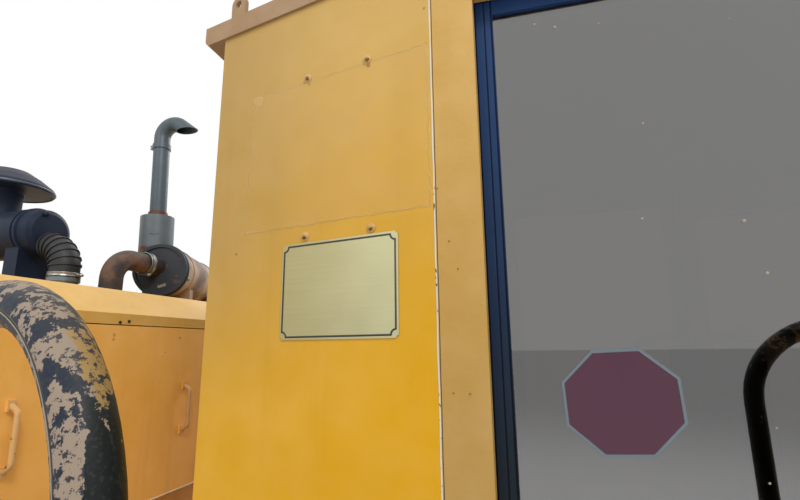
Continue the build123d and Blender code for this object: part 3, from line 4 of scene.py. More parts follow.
import bmesh
import bpy
import numpy as np
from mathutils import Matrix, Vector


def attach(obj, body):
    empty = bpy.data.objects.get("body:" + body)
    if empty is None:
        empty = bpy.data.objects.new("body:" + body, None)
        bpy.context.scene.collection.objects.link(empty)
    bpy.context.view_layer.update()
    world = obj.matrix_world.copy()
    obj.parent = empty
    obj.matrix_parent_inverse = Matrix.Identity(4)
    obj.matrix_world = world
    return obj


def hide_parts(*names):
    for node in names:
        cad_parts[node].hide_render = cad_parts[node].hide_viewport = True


# Looks of the ballast tamper. Lengths in the tables are millimetres, x along the
# machine, z up; a mesh is written in metres.

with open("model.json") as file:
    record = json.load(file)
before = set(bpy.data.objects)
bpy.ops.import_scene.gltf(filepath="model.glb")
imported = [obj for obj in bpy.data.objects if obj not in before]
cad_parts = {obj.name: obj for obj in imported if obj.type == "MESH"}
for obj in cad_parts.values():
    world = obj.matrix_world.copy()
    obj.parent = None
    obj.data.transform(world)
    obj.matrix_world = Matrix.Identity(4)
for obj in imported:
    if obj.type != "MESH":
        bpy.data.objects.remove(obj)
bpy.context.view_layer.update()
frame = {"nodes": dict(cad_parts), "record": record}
NODES = frame["nodes"]
SCENE = bpy.context.scene
RNG = np.random.default_rng(7)


# ---- node trees ----

def paint(red, green, blue):
    """Linear colour of an 8-bit one, by the standard curve of a screen."""
    value = np.array((red, green, blue), float) / 255.0
    linear = np.where(value <= 0.04045, value / 12.92, ((value + 0.055) / 1.055) ** 2.4)
    return (*[float(v) for v in linear], 1.0)


class Graph:
    """Adds nodes to one tree and joins them."""

    def __init__(self, tree):
        self.tree = tree

    def add(self, kind, **settings):
        node = self.tree.nodes.new(kind)
        for key, value in settings.items():
            setattr(node, key, value)
        return node

    def feed(self, value, socket):
        if isinstance(value, bpy.types.NodeSocket):
            self.tree.links.new(value, socket)
        else:
            socket.default_value = value

    def math(self, operation, first, second=0.0, clamp=False):
        node = self.add("ShaderNodeMath", operation=operation, use_clamp=clamp)
        self.feed(first, node.inputs[0])
        self.feed(second, node.inputs[1])
        return node.outputs[0]

    def plus(self, first, second, clamp=False):
        return self.math("ADD", first, second, clamp)

    def minus(self, first, second):
        return self.math("SUBTRACT", first, second)

    def times(self, first, second, clamp=False):
        return self.math("MULTIPLY", first, second, clamp)

    def place(self):
        return self.add("ShaderNodeTexCoord").outputs["Object"]

    def stretch(self, vector, factors):
        node = self.add("ShaderNodeMapping")
        self.feed(vector, node.inputs["Vector"])
        node.inputs["Scale"].default_value = factors
        return node.outputs[0]

    def noise(self, vector, scale, detail=3.0, rough=0.55):
        node = self.add("ShaderNodeTexNoise")
        self.feed(vector, node.inputs["Vector"])
        self.feed(scale, node.inputs["Scale"])
        node.inputs["Detail"].default_value = detail
        node.inputs["Roughness"].default_value = rough
        return node.outputs[0]

    def ramp(self, value, low, high, first=0.0, last=1.0):
        node = self.add("ShaderNodeMapRange", interpolation_type="SMOOTHSTEP")
        self.feed(value, node.inputs["Value"])
        self.feed(low, node.inputs["From Min"])
        self.feed(high, node.inputs["From Max"])
        node.inputs["To Min"].default_value = first
        node.inputs["To Max"].default_value = last
        return node.outputs["Result"]

    def mix(self, factor, first, second):
        node = self.add("ShaderNodeMix", data_type="RGBA")
        self.feed(factor, node.inputs[0])
        self.feed(first, node.inputs[6])
        self.feed(second, node.inputs[7])
        return node.outputs[2]

    def axis(self, vector, letter):
        node = self.add("ShaderNodeSeparateXYZ")
        self.feed(vector, node.inputs[0])
        return node.outputs[letter]

    def use(self, group, **values):
        node = self.add("ShaderNodeGroup", node_tree=group)
        for key, value in values.items():
            self.feed(value, node.inputs[key])
        return node.outputs[0]


def effect(name, inputs, output, kind, build):
    """A shared node group: the inputs are (name, kind) pairs, build gives the output."""
    group = bpy.data.node_groups.new(name, "ShaderNodeTree")
    for label, socket in inputs:
        group.interface.new_socket(label, in_out="INPUT", socket_type=socket)
    group.interface.new_socket(output, in_out="OUTPUT", socket_type=kind)
    graph = Graph(group)
    entry = graph.add("NodeGroupInput")
    leave = graph.add("NodeGroupOutput")
    graph.feed(build(graph, entry.outputs), leave.inputs[0])
    return group


VECTOR = "NodeSocketVector"
FLOAT = "NodeSocketFloat"
COLOUR = "NodeSocketColor"


def build_drift(g, inp):
    clouds = g.noise(inp["Place"], 1.4, 4.0)
    spots = g.noise(inp["Place"], 16.0, 3.0)
    both = g.plus(g.times(clouds, 0.7), g.times(spots, 0.3))
    away = g.times(g.minus(both, 0.5), inp["Amount"])
    shift = g.add("ShaderNodeHueSaturation")
    g.feed(inp["Colour"], shift.inputs["Color"])
    g.feed(g.plus(1.0, g.times(away, 1.6)), shift.inputs["Value"])
    g.feed(g.minus(1.0, away), shift.inputs["Saturation"])
    return shift.outputs[0]


def build_specks(g, inp):
    fine = g.noise(inp["Place"], inp["Size"], 5.0, 0.65)
    where = g.noise(inp["Place"], 2.3, 2.0)
    level = g.plus(g.times(fine, 0.75), g.times(where, 0.25))
    edge = g.minus(0.74, g.times(inp["Amount"], 0.24))
    return g.ramp(level, edge, g.plus(edge, 0.035))


def build_streaks(g, inp):
    runs = g.noise(g.stretch(inp["Place"], (24.0, 24.0, 0.8)), 1.0, 3.0)
    where = g.noise(inp["Place"], 1.1, 2.0)
    both = g.times(g.ramp(runs, 0.48, 0.72), g.ramp(where, 0.38, 0.62))
    return g.times(both, inp["Amount"], clamp=True)


def build_dust(g, inp):
    facing = g.axis(g.add("ShaderNodeNewGeometry").outputs["Normal"], "Z")
    lying = g.ramp(facing, 0.35, 0.95)
    patchy = g.ramp(g.noise(inp["Place"], 5.0, 4.0), 0.25, 0.75, 0.35, 1.0)
    return g.times(g.times(lying, patchy), inp["Amount"], clamp=True)


def build_grain(g, inp):
    fine = g.times(g.noise(inp["Place"], 140.0, 2.0), inp["Fine"])
    dents = g.times(g.noise(inp["Place"], 5.5, 1.0), inp["Dents"])
    return g.plus(fine, dents)


def build_spot(g, inp):
    away = g.add("ShaderNodeVectorMath", operation="DISTANCE")
    g.feed(inp["Place"], away.inputs[0])
    g.feed(inp["Centre"], away.inputs[1])
    ragged = g.noise(inp["Place"], g.math("DIVIDE", 1.2, inp["Radius"]), 4.0, 0.65)
    shift = g.times(g.minus(ragged, 0.5), 1.8)
    level = g.plus(g.math("DIVIDE", away.outputs["Value"], inp["Radius"]), shift)
    return g.ramp(level, 0.6, 1.1, 1.0, 0.0)


DRIFT = effect("Colour drift", (("Place", VECTOR), ("Colour", COLOUR), ("Amount", FLOAT)),
               "Colour", COLOUR, build_drift)
SPECKS = effect("Rust specks", (("Place", VECTOR), ("Size", FLOAT), ("Amount", FLOAT)),
                "Mask", FLOAT, build_specks)
STREAKS = effect("Rain streaks", (("Place", VECTOR), ("Amount", FLOAT)),
                 "Mask", FLOAT, build_streaks)
DUST = effect("Lying dust", (("Place", VECTOR), ("Amount", FLOAT)),
              "Mask", FLOAT, build_dust)
GRAIN = effect("Surface grain", (("Place", VECTOR), ("Fine", FLOAT), ("Dents", FLOAT)),
               "Height", FLOAT, build_grain)
SPOT = effect("Ragged spot", (("Place", VECTOR), ("Centre", VECTOR), ("Radius", FLOAT)),
              "Mask", FLOAT, build_spot)

RUST = paint(98, 56, 34)
GRIME = paint(52, 44, 36)
DUST_TONE = paint(176, 160, 132)


def new_material(name):
    made = bpy.data.materials.new(name)
    made.use_nodes = True
    graph = Graph(made.node_tree)
    shader = made.node_tree.nodes["Principled BSDF"]
    return made, graph, shader


def bumped(g, shader, height, strength, distance):
    bump = g.add("ShaderNodeBump")
    bump.inputs["Strength"].default_value = strength
    bump.inputs["Distance"].default_value = distance
    g.feed(height, bump.inputs["Height"])
    g.feed(bump.outputs[0], shader.inputs["Normal"])


def finish_surface(g, shader, at, colour, rough, fine, dents, relief=None):
    """Wires the colour, a roughness that varies about one value, and the bump: the grain
    and any relief of the material's own."""
    g.feed(colour, shader.inputs["Base Color"])
    patches = g.noise(at, 9.0, 3.0)
    varied = g.plus(rough, g.times(g.minus(patches, 0.5), 0.3))
    g.feed(g.math("MAXIMUM", varied, 0.03), shader.inputs["Roughness"])
    height = g.use(GRAIN, Place=at, Fine=fine, Dents=dents)
    bumped(g, shader, g.plus(height, relief) if relief else height, 0.6, 0.002)


def coated(name, colour, rough=0.45, drift=0.5, specks=0.3, size=38.0, streaks=0.3, dust=0.4,
           fine=0.15, dents=0.4, metallic=0.0, coat=0.0, under=RUST, gloss=0.5):
    """A worn finish: drifting colour, specks of what is under it, streaks and dust. The
    colour is fixed, or a function that builds it in the material's own nodes."""
    made, g, shader = new_material(name)
    at = g.place()
    base = colour(g, at) if callable(colour) else colour
    skin = g.use(DRIFT, Place=at, Colour=base, Amount=drift)
    skin = g.mix(g.use(STREAKS, Place=at, Amount=streaks), skin, GRIME)
    worn = g.use(SPECKS, Place=at, Size=size, Amount=specks)
    skin = g.mix(worn, skin, under)
    skin = g.mix(g.use(DUST, Place=at, Amount=dust), skin, DUST_TONE)
    finish_surface(g, shader, at, skin, g.plus(rough, g.times(worn, 0.3)), fine, dents)
    shader.inputs["Metallic"].default_value = metallic
    shader.inputs["Coat Weight"].default_value = coat
    shader.inputs["Coat Roughness"].default_value = 0.2
    shader.inputs["Specular IOR Level"].default_value = gloss
    return made


def spotted(g, at, base, colour, spots, strength=0.8):
    """The base colour with ragged spots at (place, radius) pairs, in metres."""
    for place, radius in spots:
        mask = g.use(SPOT, Place=at, Centre=place, Radius=radius)
        base = g.mix(g.times(mask, strength), base, colour)
    return base


RUST_DOT = paint(122, 82, 46)


def sign_tone(g, at):
    """Yellow, deep low down and paler towards the top, where a painted reflection of the sky lies
    on it; duller and darker towards the cab's rear edge higher up, with a few rust spots on the
    right sign panel."""
    high = g.ramp(g.axis(at, "Z"), 1.45, 2.35)
    # painted reflection of the sky: the yellow turns paler towards the top
    yellow_and_sky_reflection = g.mix(high, paint(208, 154, 22), paint(190, 154, 84))
    rear = g.ramp(g.axis(at, "X"), -0.386, 0.0, 1.0, 0.0)
    rear = g.times(rear, g.ramp(g.axis(at, "Z"), 1.4, 1.9, 0.0, 0.75))
    base = g.mix(rear, yellow_and_sky_reflection, paint(168, 136, 80))
    return spotted(g, at, base, RUST_DOT,
                   (((0.090, -0.738, 2.227), 0.0025), ((-0.314, -0.652, 1.831), 0.003),
                    ((-0.020, -0.714, 2.150), 0.004), ((-0.150, -0.686, 2.150), 0.003)))


def pillar_tone(g, at):
    """Chalky ochre, darker low down, with single rust spots on the right pillar."""
    high = g.ramp(g.axis(at, "Z"), 1.4, 2.1)
    base = g.mix(high, paint(172, 136, 74), paint(188, 150, 82))
    return spotted(g, at, base, RUST_DOT,
                   (((0.121, -0.740, 1.808), 0.0022), ((0.133, -0.740, 1.764), 0.002),
                    ((0.120, -0.740, 1.583), 0.002), ((0.144, -0.740, 1.582), 0.0022),
                    ((0.105, -0.740, 1.895), 0.002)))


def end_panel_tone(g, at):
    """Ochre of the lift-off panel with its dark marks and one short rust streak."""
    handle = g.ramp(g.axis(at, "X"), -0.897, -0.893)
    chipped = g.ramp(g.noise(at, 70.0, 4.0), 0.6, 0.66)
    grip = g.mix(chipped, paint(212, 168, 108), paint(116, 78, 46))
    skin = g.mix(handle, paint(240, 181, 90), grip)
    marked = spotted(g, at, skin, paint(96, 66, 42),
                     (((-0.900, -0.089, 1.686), 0.004), ((-0.900, -0.150, 1.640), 0.002)))
    return spotted(g, at, marked, paint(158, 104, 52),
                   (((-0.900, -0.354, 1.691), 0.006), ((-0.900, -0.354, 1.678), 0.005)), 0.5)


def frame_navy_and_reflection(g, at):
    """Navy with a painted reflection: blue of the sky at the door's top and nearly black from the
    dark ground at its foot.
    """
    high = g.axis(at, "Z")
    # painted reflection over the navy: nearly black low down for the ground, blue higher up for
    # the sky
    lower = g.mix(g.ramp(high, 0.75, 1.35), paint(14, 15, 12), paint(20, 28, 34))
    return g.mix(g.ramp(high, 1.35, 2.2), lower, paint(28, 56, 98))


def rail_tone(g, at):
    """Navy paint flaked down to tan primer with dark pits. On the rear rails the paint
    stays on the outer face below the bend and yellow shows outside on the bend; around
    is 1 on the outer face, from the distances to the bend's middle line and plane over
    the tube's radius."""
    # in metres: the rear post, the way its loop runs, the bend's radius and its foot
    post_x, post_y, run_x, run_y, bend, foot = -0.017, 1.2025, -0.962, 0.272, 0.166, 1.521
    x, y, z = (g.axis(at, letter) for letter in "XYZ")
    ahead = g.minus(x, post_x)
    inward = g.minus(post_y, g.math("ABSOLUTE", y))
    run = g.plus(g.times(ahead, run_x), g.times(inward, run_y))
    run = g.minus(run, bend)
    aside = g.plus(g.times(ahead, -run_y), g.times(inward, run_x))
    rise = g.math("MAXIMUM", g.minus(z, foot), 0.0)
    reach = g.math("SQRT", g.plus(g.times(run, run), g.times(rise, rise)))
    wander = g.times(g.minus(g.noise(at, 26.0, 4.0, 0.6), 0.5), 1.6)
    around = g.minus(g.times(g.minus(reach, bend), 49.5), g.times(aside, 17.9))
    around = g.plus(around, g.times(wander, 0.6))
    low = g.ramp(z, 1.605, 1.64, 1.0, 0.0)
    kept = g.times(g.ramp(around, 0.5, 0.62), low)
    flakes = g.noise(g.stretch(at, (1.0, 1.0, 0.7)), 38.0, 4.0, 0.6)
    more = g.noise(at, 150.0, 4.0, 0.65)
    level = g.plus(g.times(flakes, 0.66), g.times(more, 0.34))
    edge = g.plus(0.478, g.times(kept, 0.13))
    yellow = g.times(g.ramp(z, 1.575, 1.6), g.ramp(z, 1.655, 1.68, 1.0, 0.0))
    yellow = g.times(yellow, g.ramp(around, 0.84, 0.94, 0.0, 0.8))
    bare = g.mix(yellow, paint(142, 126, 110), paint(150, 118, 56))
    pits = g.ramp(g.noise(at, 180.0, 4.0, 0.7), 0.535, 0.575)
    bare = g.mix(pits, bare, paint(50, 50, 54))
    thin = g.times(g.ramp(g.noise(at, 340.0, 3.0), 0.52, 0.66), 0.3)
    navy = g.mix(kept, paint(26, 34, 48), paint(14, 20, 20))
    dark = g.mix(thin, navy, paint(62, 66, 58))
    return g.mix(g.ramp(g.minus(level, edge), 0.0, 0.012), dark, bare)


def burnt_tone(size, low, high, cool, burnt):
    """Colour of a hot pipe: patches of burnt rust over its cooler brown."""
    def tone(g, at):
        return g.mix(g.ramp(g.noise(at, size, 5.0, 0.6), low, high), cool, burnt)
    return tone


elbow_tone = burnt_tone(9.0, 0.46, 0.66, paint(58, 50, 50), paint(110, 82, 64))
muffler_tone = burnt_tone(7.0, 0.42, 0.64, paint(104, 80, 66), paint(176, 148, 120))


def stack_tone(g, at):
    """Grey pipe, rusty where the silencer sleeve begins and ends."""
    high = g.plus(g.axis(at, "Z"), g.times(g.noise(at, 30.0, 3.0), 0.016))
    rims = [g.math("ABSOLUTE", g.minus(high, level)) for level in (2.062, 2.226)]
    near = g.ramp(g.math("MINIMUM", *rims), 0.006, 0.016, 1.0, 0.0)
    pipe = g.mix(g.ramp(high, 2.22, 2.23), paint(98, 106, 110), paint(78, 88, 94))
    return g.mix(near, pipe, paint(96, 60, 42))


MUFFLER_AXIS = np.array((-0.3746, 0.9272, 0.0))
MUFFLER_FRONT = 0.5355            # metres along the axis to the black disc's plane
SMEAR = ((-1.183, 0.105, 1.895), (-1.174, 0.109, 1.899), (-1.165, 0.113, 1.902))


def drum_tone(g, at):
    """Black front disc of the muffler and a rusty brown drum behind it, told apart by
    the distance along the drum."""
    x, y = g.axis(at, "X"), g.axis(at, "Y")
    along = g.plus(g.times(x, MUFFLER_AXIS[0]), g.times(y, MUFFLER_AXIS[1]))
    behind = g.ramp(along, MUFFLER_FRONT + 0.028, MUFFLER_FRONT + 0.034)
    black = g.mix(g.ramp(g.noise(at, 26.0, 4.0), 0.6, 0.72), paint(30, 35, 42), paint(92, 66, 48))
    black = spotted(g, at, black, paint(150, 140, 128), [(place, 0.007) for place in SMEAR])
    return g.mix(behind, black, muffler_tone(g, at))


def brass_tone(g, at):
    """Brushed brass: fine lines along the plate over a tone that is darker at the rear and paler
    forwards.
    """
    lines = g.noise(g.stretch(at, (9.0, 9.0, 1400.0)), 1.0, 2.0)
    clouds = g.times(g.minus(g.noise(at, 9.0, 3.0), 0.5), 0.1)
    rear = g.ramp(g.plus(g.axis(at, "X"), clouds), -0.2, 0.04)
    rear_to_front_tone = g.mix(rear, paint(168, 156, 108), paint(190, 186, 144))
    return g.mix(g.ramp(lines, 0.2, 0.8, 0.0, 0.25), rear_to_front_tone, paint(204, 198, 158))


def glass_material():
    """Bronze glass: a dark tint inside and a strong clear reflection on top."""
    made, g, shader = new_material("bronze_glass")
    at = g.place()
    skin = g.use(DRIFT, Place=at, Colour=paint(92, 84, 78), Amount=0.25)
    film = g.use(SPECKS, Place=at, Size=90.0, Amount=0.12)
    g.feed(g.mix(film, skin, paint(150, 140, 120)), shader.inputs["Base Color"])
    g.feed(g.plus(0.015, g.times(film, 0.5)), shader.inputs["Roughness"])
    bumped(g, shader, g.use(GRAIN, Place=at, Fine=0.0, Dents=0.4), 0.25, 0.001)
    shader.inputs["Transmission Weight"].default_value = 1.0
    shader.inputs["Metallic"].default_value = 0.0
    shader.inputs["IOR"].default_value = 1.5
    shader.inputs["Coat Weight"].default_value = 1.0
    shader.inputs["Coat IOR"].default_value = 2.2
    shader.inputs["Coat Roughness"].default_value = 0.01
    return made


def tread_material():
    """Steel floor plate with raised lozenges, from crossed waves of x and y."""
    made, g, shader = new_material("deck_plate")
    at = g.place()
    x, y = g.axis(at, "X"), g.axis(at, "Y")
    waves = [g.math("SINE", g.times(g.math(op, x, y), 150.0)) for op in ("ADD", "SUBTRACT")]
    lozenge = g.ramp(g.times(*waves), 0.45, 0.8)
    skin = g.use(DRIFT, Place=at, Colour=paint(96, 88, 78), Amount=0.7)
    skin = g.mix(g.times(lozenge, 0.5), skin, paint(138, 132, 124))
    skin = g.mix(g.use(SPECKS, Place=at, Size=24.0, Amount=0.55), skin, RUST)
    skin = g.mix(g.use(DUST, Place=at, Amount=0.35), skin, DUST_TONE)
    finish_surface(g, shader, at, skin, 0.5, 0.3, 0.3, lozenge)
    shader.inputs["Metallic"].default_value = 0.3
    return made


def cloth_material(name, colour):
    """Woven cover: two crossed fine waves as bump, soft sheen, rubbed patches."""
    made, g, shader = new_material(name)
    at = g.place()
    skin = g.use(DRIFT, Place=at, Colour=colour, Amount=0.8)
    x, y, z = (g.axis(at, letter) for letter in "XYZ")
    weave = g.times(g.math("SINE", g.times(g.plus(x, z), 2400.0)),
                    g.math("SINE", g.times(g.minus(y, z), 2400.0)))
    finish_surface(g, shader, at, skin, 0.85, 0.2, 0.3, g.times(weave, 0.12))
    shader.inputs["Sheen Weight"].default_value = 0.3
    return made


# finish: colour or tone, roughness, drift, specks and their size, streaks; other values
FINISHES = {
    "yellow_paint": (sign_tone, 0.4, 0.22, 0.1, 46.0, 0.1, dict(fine=0.06, gloss=0.2)),
    "hood_paint": (paint(218, 158, 70), 0.5, 0.4, 0.2, 30.0, 0.25, dict(dust=0.1)),
    # the roof gets a lighter copy of the hood paint, a painted highlight on its upward faces,
    # with less dust and gloss
    "hood_top_paint_lit": (paint(216, 170, 84), 0.5, 0.35, 0.16, 34.0, 0.15,
                       dict(dust=0.15, gloss=0.25)),
    "end_panel_paint": (end_panel_tone, 0.5, 0.3, 0.12, 34.0, 0.08, dict(dust=0.1, gloss=0.3)),
    "pillar_paint": (pillar_tone, 0.7, 0.45, 0.3, 70.0, 0.25, dict(fine=0.35, gloss=0.3)),
    "roof_paint": (paint(154, 124, 92), 0.7, 0.8, 0.4, 22.0, 0.4, {}),
    "navy_paint": (frame_navy_and_reflection, 0.42, 0.3, 0.12, 60.0, 0.15,
                   dict(dust=0.1, fine=0.08, gloss=0.16)),
    "frame_paint": (paint(62, 60, 58), 0.6, 0.7, 0.45, 24.0, 0.4, dict(dust=0.6)),
    "rail_paint": (rail_tone, 0.5, 0.2, 0.1, 80.0, 0.0, dict(dust=0.1, fine=0.35, gloss=0.2)),
    "wheel_steel": (paint(92, 72, 58), 0.55, 0.8, 0.6, 20.0, 0.3, dict(metallic=0.5, fine=0.4)),
    "axle_steel": (paint(96, 84, 74), 0.5, 0.6, 0.5, 26.0, 0.2, dict(metallic=0.6)),
    "cast_parts": (paint(66, 58, 52), 0.7, 0.7, 0.5, 24.0, 0.3, dict(fine=0.6)),
    "guide_chrome": (paint(190, 188, 184), 0.2, 0.2, 0.1, 60.0, 0.3,
                     dict(dust=0.1, fine=0.03, dents=0.0, metallic=1.0)),
    "tool_steel": (paint(108, 92, 78), 0.5, 0.7, 0.5, 22.0, 0.3, dict(metallic=0.6, fine=0.5)),
    "head_paint": (paint(196, 148, 52), 0.5, 0.6, 0.4, 26.0, 0.5, {}),
    "engine_paint": (paint(70, 74, 72), 0.6, 0.6, 0.4, 26.0, 0.5, {}),
    "rusty_pipe": (elbow_tone, 0.65, 0.6, 0.35, 34.0, 0.2,
                   dict(dust=0.15, fine=0.5, under=paint(58, 44, 38), gloss=0.3)),
    "grey_pipe": (paint(112, 121, 127), 0.4, 0.7, 0.3, 30.0, 0.5,
                  dict(dust=0.15, metallic=0.45)),
    "cleaner_paint": (paint(22, 34, 54), 0.48, 0.5, 0.15, 60.0, 0.15,
                      dict(dust=0.08, gloss=0.2)),
    "muffler_drum": (drum_tone, 0.6, 0.5, 0.3, 34.0, 0.1,
                     dict(dust=0.1, fine=0.4, under=paint(64, 46, 38))),
    "stack_grey": (stack_tone, 0.42, 0.6, 0.2, 30.0, 0.3,
                   dict(dust=0.1, metallic=0.2, gloss=0.35)),
    "black_rubber": (paint(26, 28, 32), 0.55, 0.4, 0.05, 50.0, 0.0, dict(dust=0.12, fine=0.2)),
    "notice_red": (paint(68, 27, 48), 0.35, 0.4, 0.1, 60.0, 0.1,
                   dict(dust=0.0, dents=0.1, under=paint(150, 110, 120))),
    "plaque_brass": (brass_tone, 0.42, 0.2, 0.0, 70.0, 0.05,
                     dict(dust=0.1, fine=0.02, dents=0.1, metallic=0.6, under=paint(96, 84, 58))),
    "lamp_shell": (paint(46, 47, 48), 0.5, 0.5, 0.3, 40.0, 0.2, {}),
}
MATERIALS = {name: coated(name, *row[:-1], **row[-1]) for name, row in FINISHES.items()}
MATERIALS["deck_plate"] = tread_material()
MATERIALS["dark_glass"] = glass_material()
MATERIALS["seat_cover"] = cloth_material("seat_cover", paint(54, 54, 60))

SLOT_OF = {piece["node"]: piece["material_slot"] for piece in frame["record"]["subparts"]}
OWN_FINISH = {"muffler": "muffler_drum", "exhaust_stack": "stack_grey",
              "hood_roof": "hood_top_paint_lit", "hood_end_panels": "end_panel_paint"}


def dress_nodes():
    """Gives each CAD node the finish of its slot, or one of its own."""
    for name, node in NODES.items():
        node.data.materials.clear()
        node.data.materials.append(MATERIALS[OWN_FINISH.get(name, SLOT_OF[name])])


dress_nodes()


# ---- computed surfaces ----

def write_mesh(name, points, faces, smooth=True):
    """One mesh from points in millimetres and a face table, its poles merged."""
    mesh = bpy.data.meshes.new(name)
    mesh.from_pydata((np.asarray(points, float) * 0.001).tolist(), [], faces.tolist())
    shell = bmesh.new()
    shell.from_mesh(mesh)
    bmesh.ops.remove_doubles(shell, verts=shell.verts, dist=1e-6)
    shell.to_mesh(mesh)
    shell.free()
    if smooth:
        mesh.polygons.foreach_set("use_smooth", np.ones(len(mesh.polygons), bool))
    made = bpy.data.objects.new(name, mesh)
    SCENE.collection.objects.link(made)
    return made


def grid_faces(rows, columns, close_rows=False, close_columns=True):
    """Quads between the neighbours of a grid, wrapped round where it closes."""
    r = np.arange(rows if close_rows else rows - 1)
    c = np.arange(columns if close_columns else columns - 1)
    r, c = (a.ravel() for a in np.meshgrid(r, c, indexing="ij"))
    r2, c2 = (r + 1) % rows, (c + 1) % columns
    return np.stack((r * columns + c, r * columns + c2, r2 * columns + c2, r2 * columns + c), 1)


def cross_axes(axis):
    """Two unit directions across an axis."""
    axis = np.asarray(axis, float) / np.linalg.norm(axis)
    aside = np.array((0.0, 0.0, 1.0)) if abs(axis[2]) < 0.9 else np.array((1.0, 0.0, 0.0))
    first = np.cross(aside, axis)
    first /= np.linalg.norm(first)
    return axis, first, np.cross(axis, first)


def turned_points(profile, origin, axis, steps):
    """Point (i, j) = origin + length_i * axis + radius_i * (cos a_j first + sin a_j second).
    A profile away from the axis at both ends closes as a ring, any other at its poles."""
    axis, first, second = cross_axes(axis)
    angle = np.arange(steps) * 2 * math.pi / steps
    ring = np.cos(angle)[:, None] * first + np.sin(angle)[:, None] * second
    profile = np.asarray(profile, float)
    ring_shaped = profile[0, 0] > 0 and profile[-1, 0] > 0
    if profile[0, 0] > 0 and not ring_shaped:
        profile = np.vstack(((0.0, profile[0, 1]), profile))
    points = (np.asarray(origin, float) + profile[:, 1, None, None] * axis
              + profile[:, 0, None, None] * ring)
    return points.reshape(-1, 3), grid_faces(len(profile), steps, ring_shaped)


def outward(points, faces):
    """Turns the faces over where the sum of (middle - centre) . normal is below zero."""
    a, b, c, d = (points[faces[:, k]] for k in range(4))
    normal = np.cross(c - a, d - b)
    middle = (a + b + c + d) / 4 - points.mean(0)
    return faces if (middle * normal).sum() >= 0 else faces[:, ::-1]


def joined(name, parts, smooth=True):
    """One mesh of several (points, faces) pairs."""
    points, faces, start = [], [], 0
    for piece, table in parts:
        points.append(piece)
        faces.append(outward(piece, table) + start)
        start += len(piece)
    return write_mesh(name, np.concatenate(points), np.concatenate(faces), smooth)


def carried_points(path, profile, normal, closed=False):
    """Point (i, j) = path_i + u_j * side_i + v_j * normal_i, side = along x normal. An
    open path ends in two poles, at the middle of the profile."""
    path = np.asarray(path, float)
    ahead = np.roll(path, -1, 0) - path
    if not closed:
        ahead[-1] = ahead[-2]
    back = np.roll(ahead, 1, 0)
    if not closed:
        back[0] = ahead[0]
    ahead = ahead / np.linalg.norm(ahead, axis=1)[:, None]
    back = back / np.linalg.norm(back, axis=1)[:, None]
    along = ahead + back
    along /= np.linalg.norm(along, axis=1)[:, None]
    normal = np.broadcast_to(np.asarray(normal, float), path.shape)
    side = np.cross(along, normal)
    side /= np.linalg.norm(side, axis=1)[:, None]
    mitre = 1.0 / np.clip((along * ahead).sum(1), 0.35, 1.0)
    profile = np.asarray(profile, float)
    points = (path[:, None] + profile[None, :, 0, None] * (side * mitre[:, None])[:, None]
              + profile[None, :, 1, None] * normal[:, None])
    if not closed:
        ends = [np.repeat(points[k].mean(0)[None, None], len(profile), 1) for k in (0, -1)]
        points = np.concatenate((ends[0], points, ends[1]))
    return points.reshape(-1, 3), grid_faces(len(points), len(profile), closed)


def finish_piece(piece, body, material):
    piece.data.materials.append(material)
    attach(piece, body)


def add_piece(name, parts, material, body="machine", smooth=True):
    """One finished piece of several (points, faces) pairs."""
    finish_piece(joined(name, parts, smooth), body, material)


def dome(radius, height, washer):
    """Profile of a domed bolt head on a washer, from the washer's rim to the pole."""
    angle = np.linspace(0, math.pi / 2, 6)
    rise = np.stack((radius * np.cos(angle), 2 + height * np.sin(angle)), 1)
    return np.concatenate((((washer, -1), (washer, 1.4), (washer - 0.8, 2), (radius, 2)), rise))


def bolts(name, places, axis, radius, height, material, steps, body="machine"):
    """Domed bolts at several places; each one is its profile turned about the axis."""
    parts = [turned_points(dome(radius, height, radius * 1.45), place, axis, steps)
             for place in places]
    add_piece(name, parts, material, body)


# ---- places taken from the CAD part ----

SIDES = (("right", -1), ("left", 1))
CAB_Y = 740.0                   # the cab's side walls, and the hood's
CAB_REAR = (-386.0, 636.9)      # corner of the rear wall
BEND_X = 99.0                   # where the sign panel meets the side wall
FRONT_X = 1650.0
HOOD_END_X = -900.0
DECK_Z = 660.0
POST_XS = (-17.0, 703.0)        # handrail posts
POST_Y = 1202.5
RAIL_R = 19.0
RAIL_BEND = 166.0
RAIL_BEND_Z = 1521.0            # top of the post, foot of its bend
AXLE_XS = (-2300.0, 3000.0)
AXLE_Z = 305.0
HEAD_X = 2160.0                 # middle of the tamping heads
GLASS_Y = -697.0                # right door's glass
NOTICE_AT = (351.0, 1570.0)
STACK_AT = (-1270.0, 165.0)
UP = np.array((0.0, 0.0, 1.0))


# ---- cab corner: sealant, seam darkened as painted shadow, bolts with painted shadow, plaque line ----

CORNER = np.array((BEND_X, -CAB_Y, 0.0))
PANEL_RUN = np.array((CAB_REAR[0] - BEND_X, CAB_Y - CAB_REAR[1], 0.0))
PANEL_RUN /= np.linalg.norm(PANEL_RUN)
PANEL_OUT = np.array((-PANEL_RUN[1], PANEL_RUN[0], 0.0))


def on_panel(u, z, out=0.0):
    """Point on the right sign panel: u millimetres rearwards of the corner."""
    return CORNER + PANEL_RUN * u + PANEL_OUT * out + UP * z


def mirror_y(points):
    return np.asarray(points, float) * (1.0, -1.0, 1.0)


def sealant_tone(g, at):
    """Pale bead, broken by dark gaps that come more often lower down."""
    gaps = g.noise(g.stretch(at, (1.0, 1.0, 0.6)), 110.0, 3.0, 0.6)
    edge = g.ramp(g.axis(at, "Z"), 1.4, 2.2, 0.54, 0.66)
    cut = g.ramp(g.minus(gaps, edge), 0.0, 0.03)
    return g.mix(cut, paint(206, 196, 176), paint(84, 70, 52))


sealant = coated("sealant", sealant_tone, 0.6, 0.4, 0.1, 80.0, 0.2, fine=0.3)
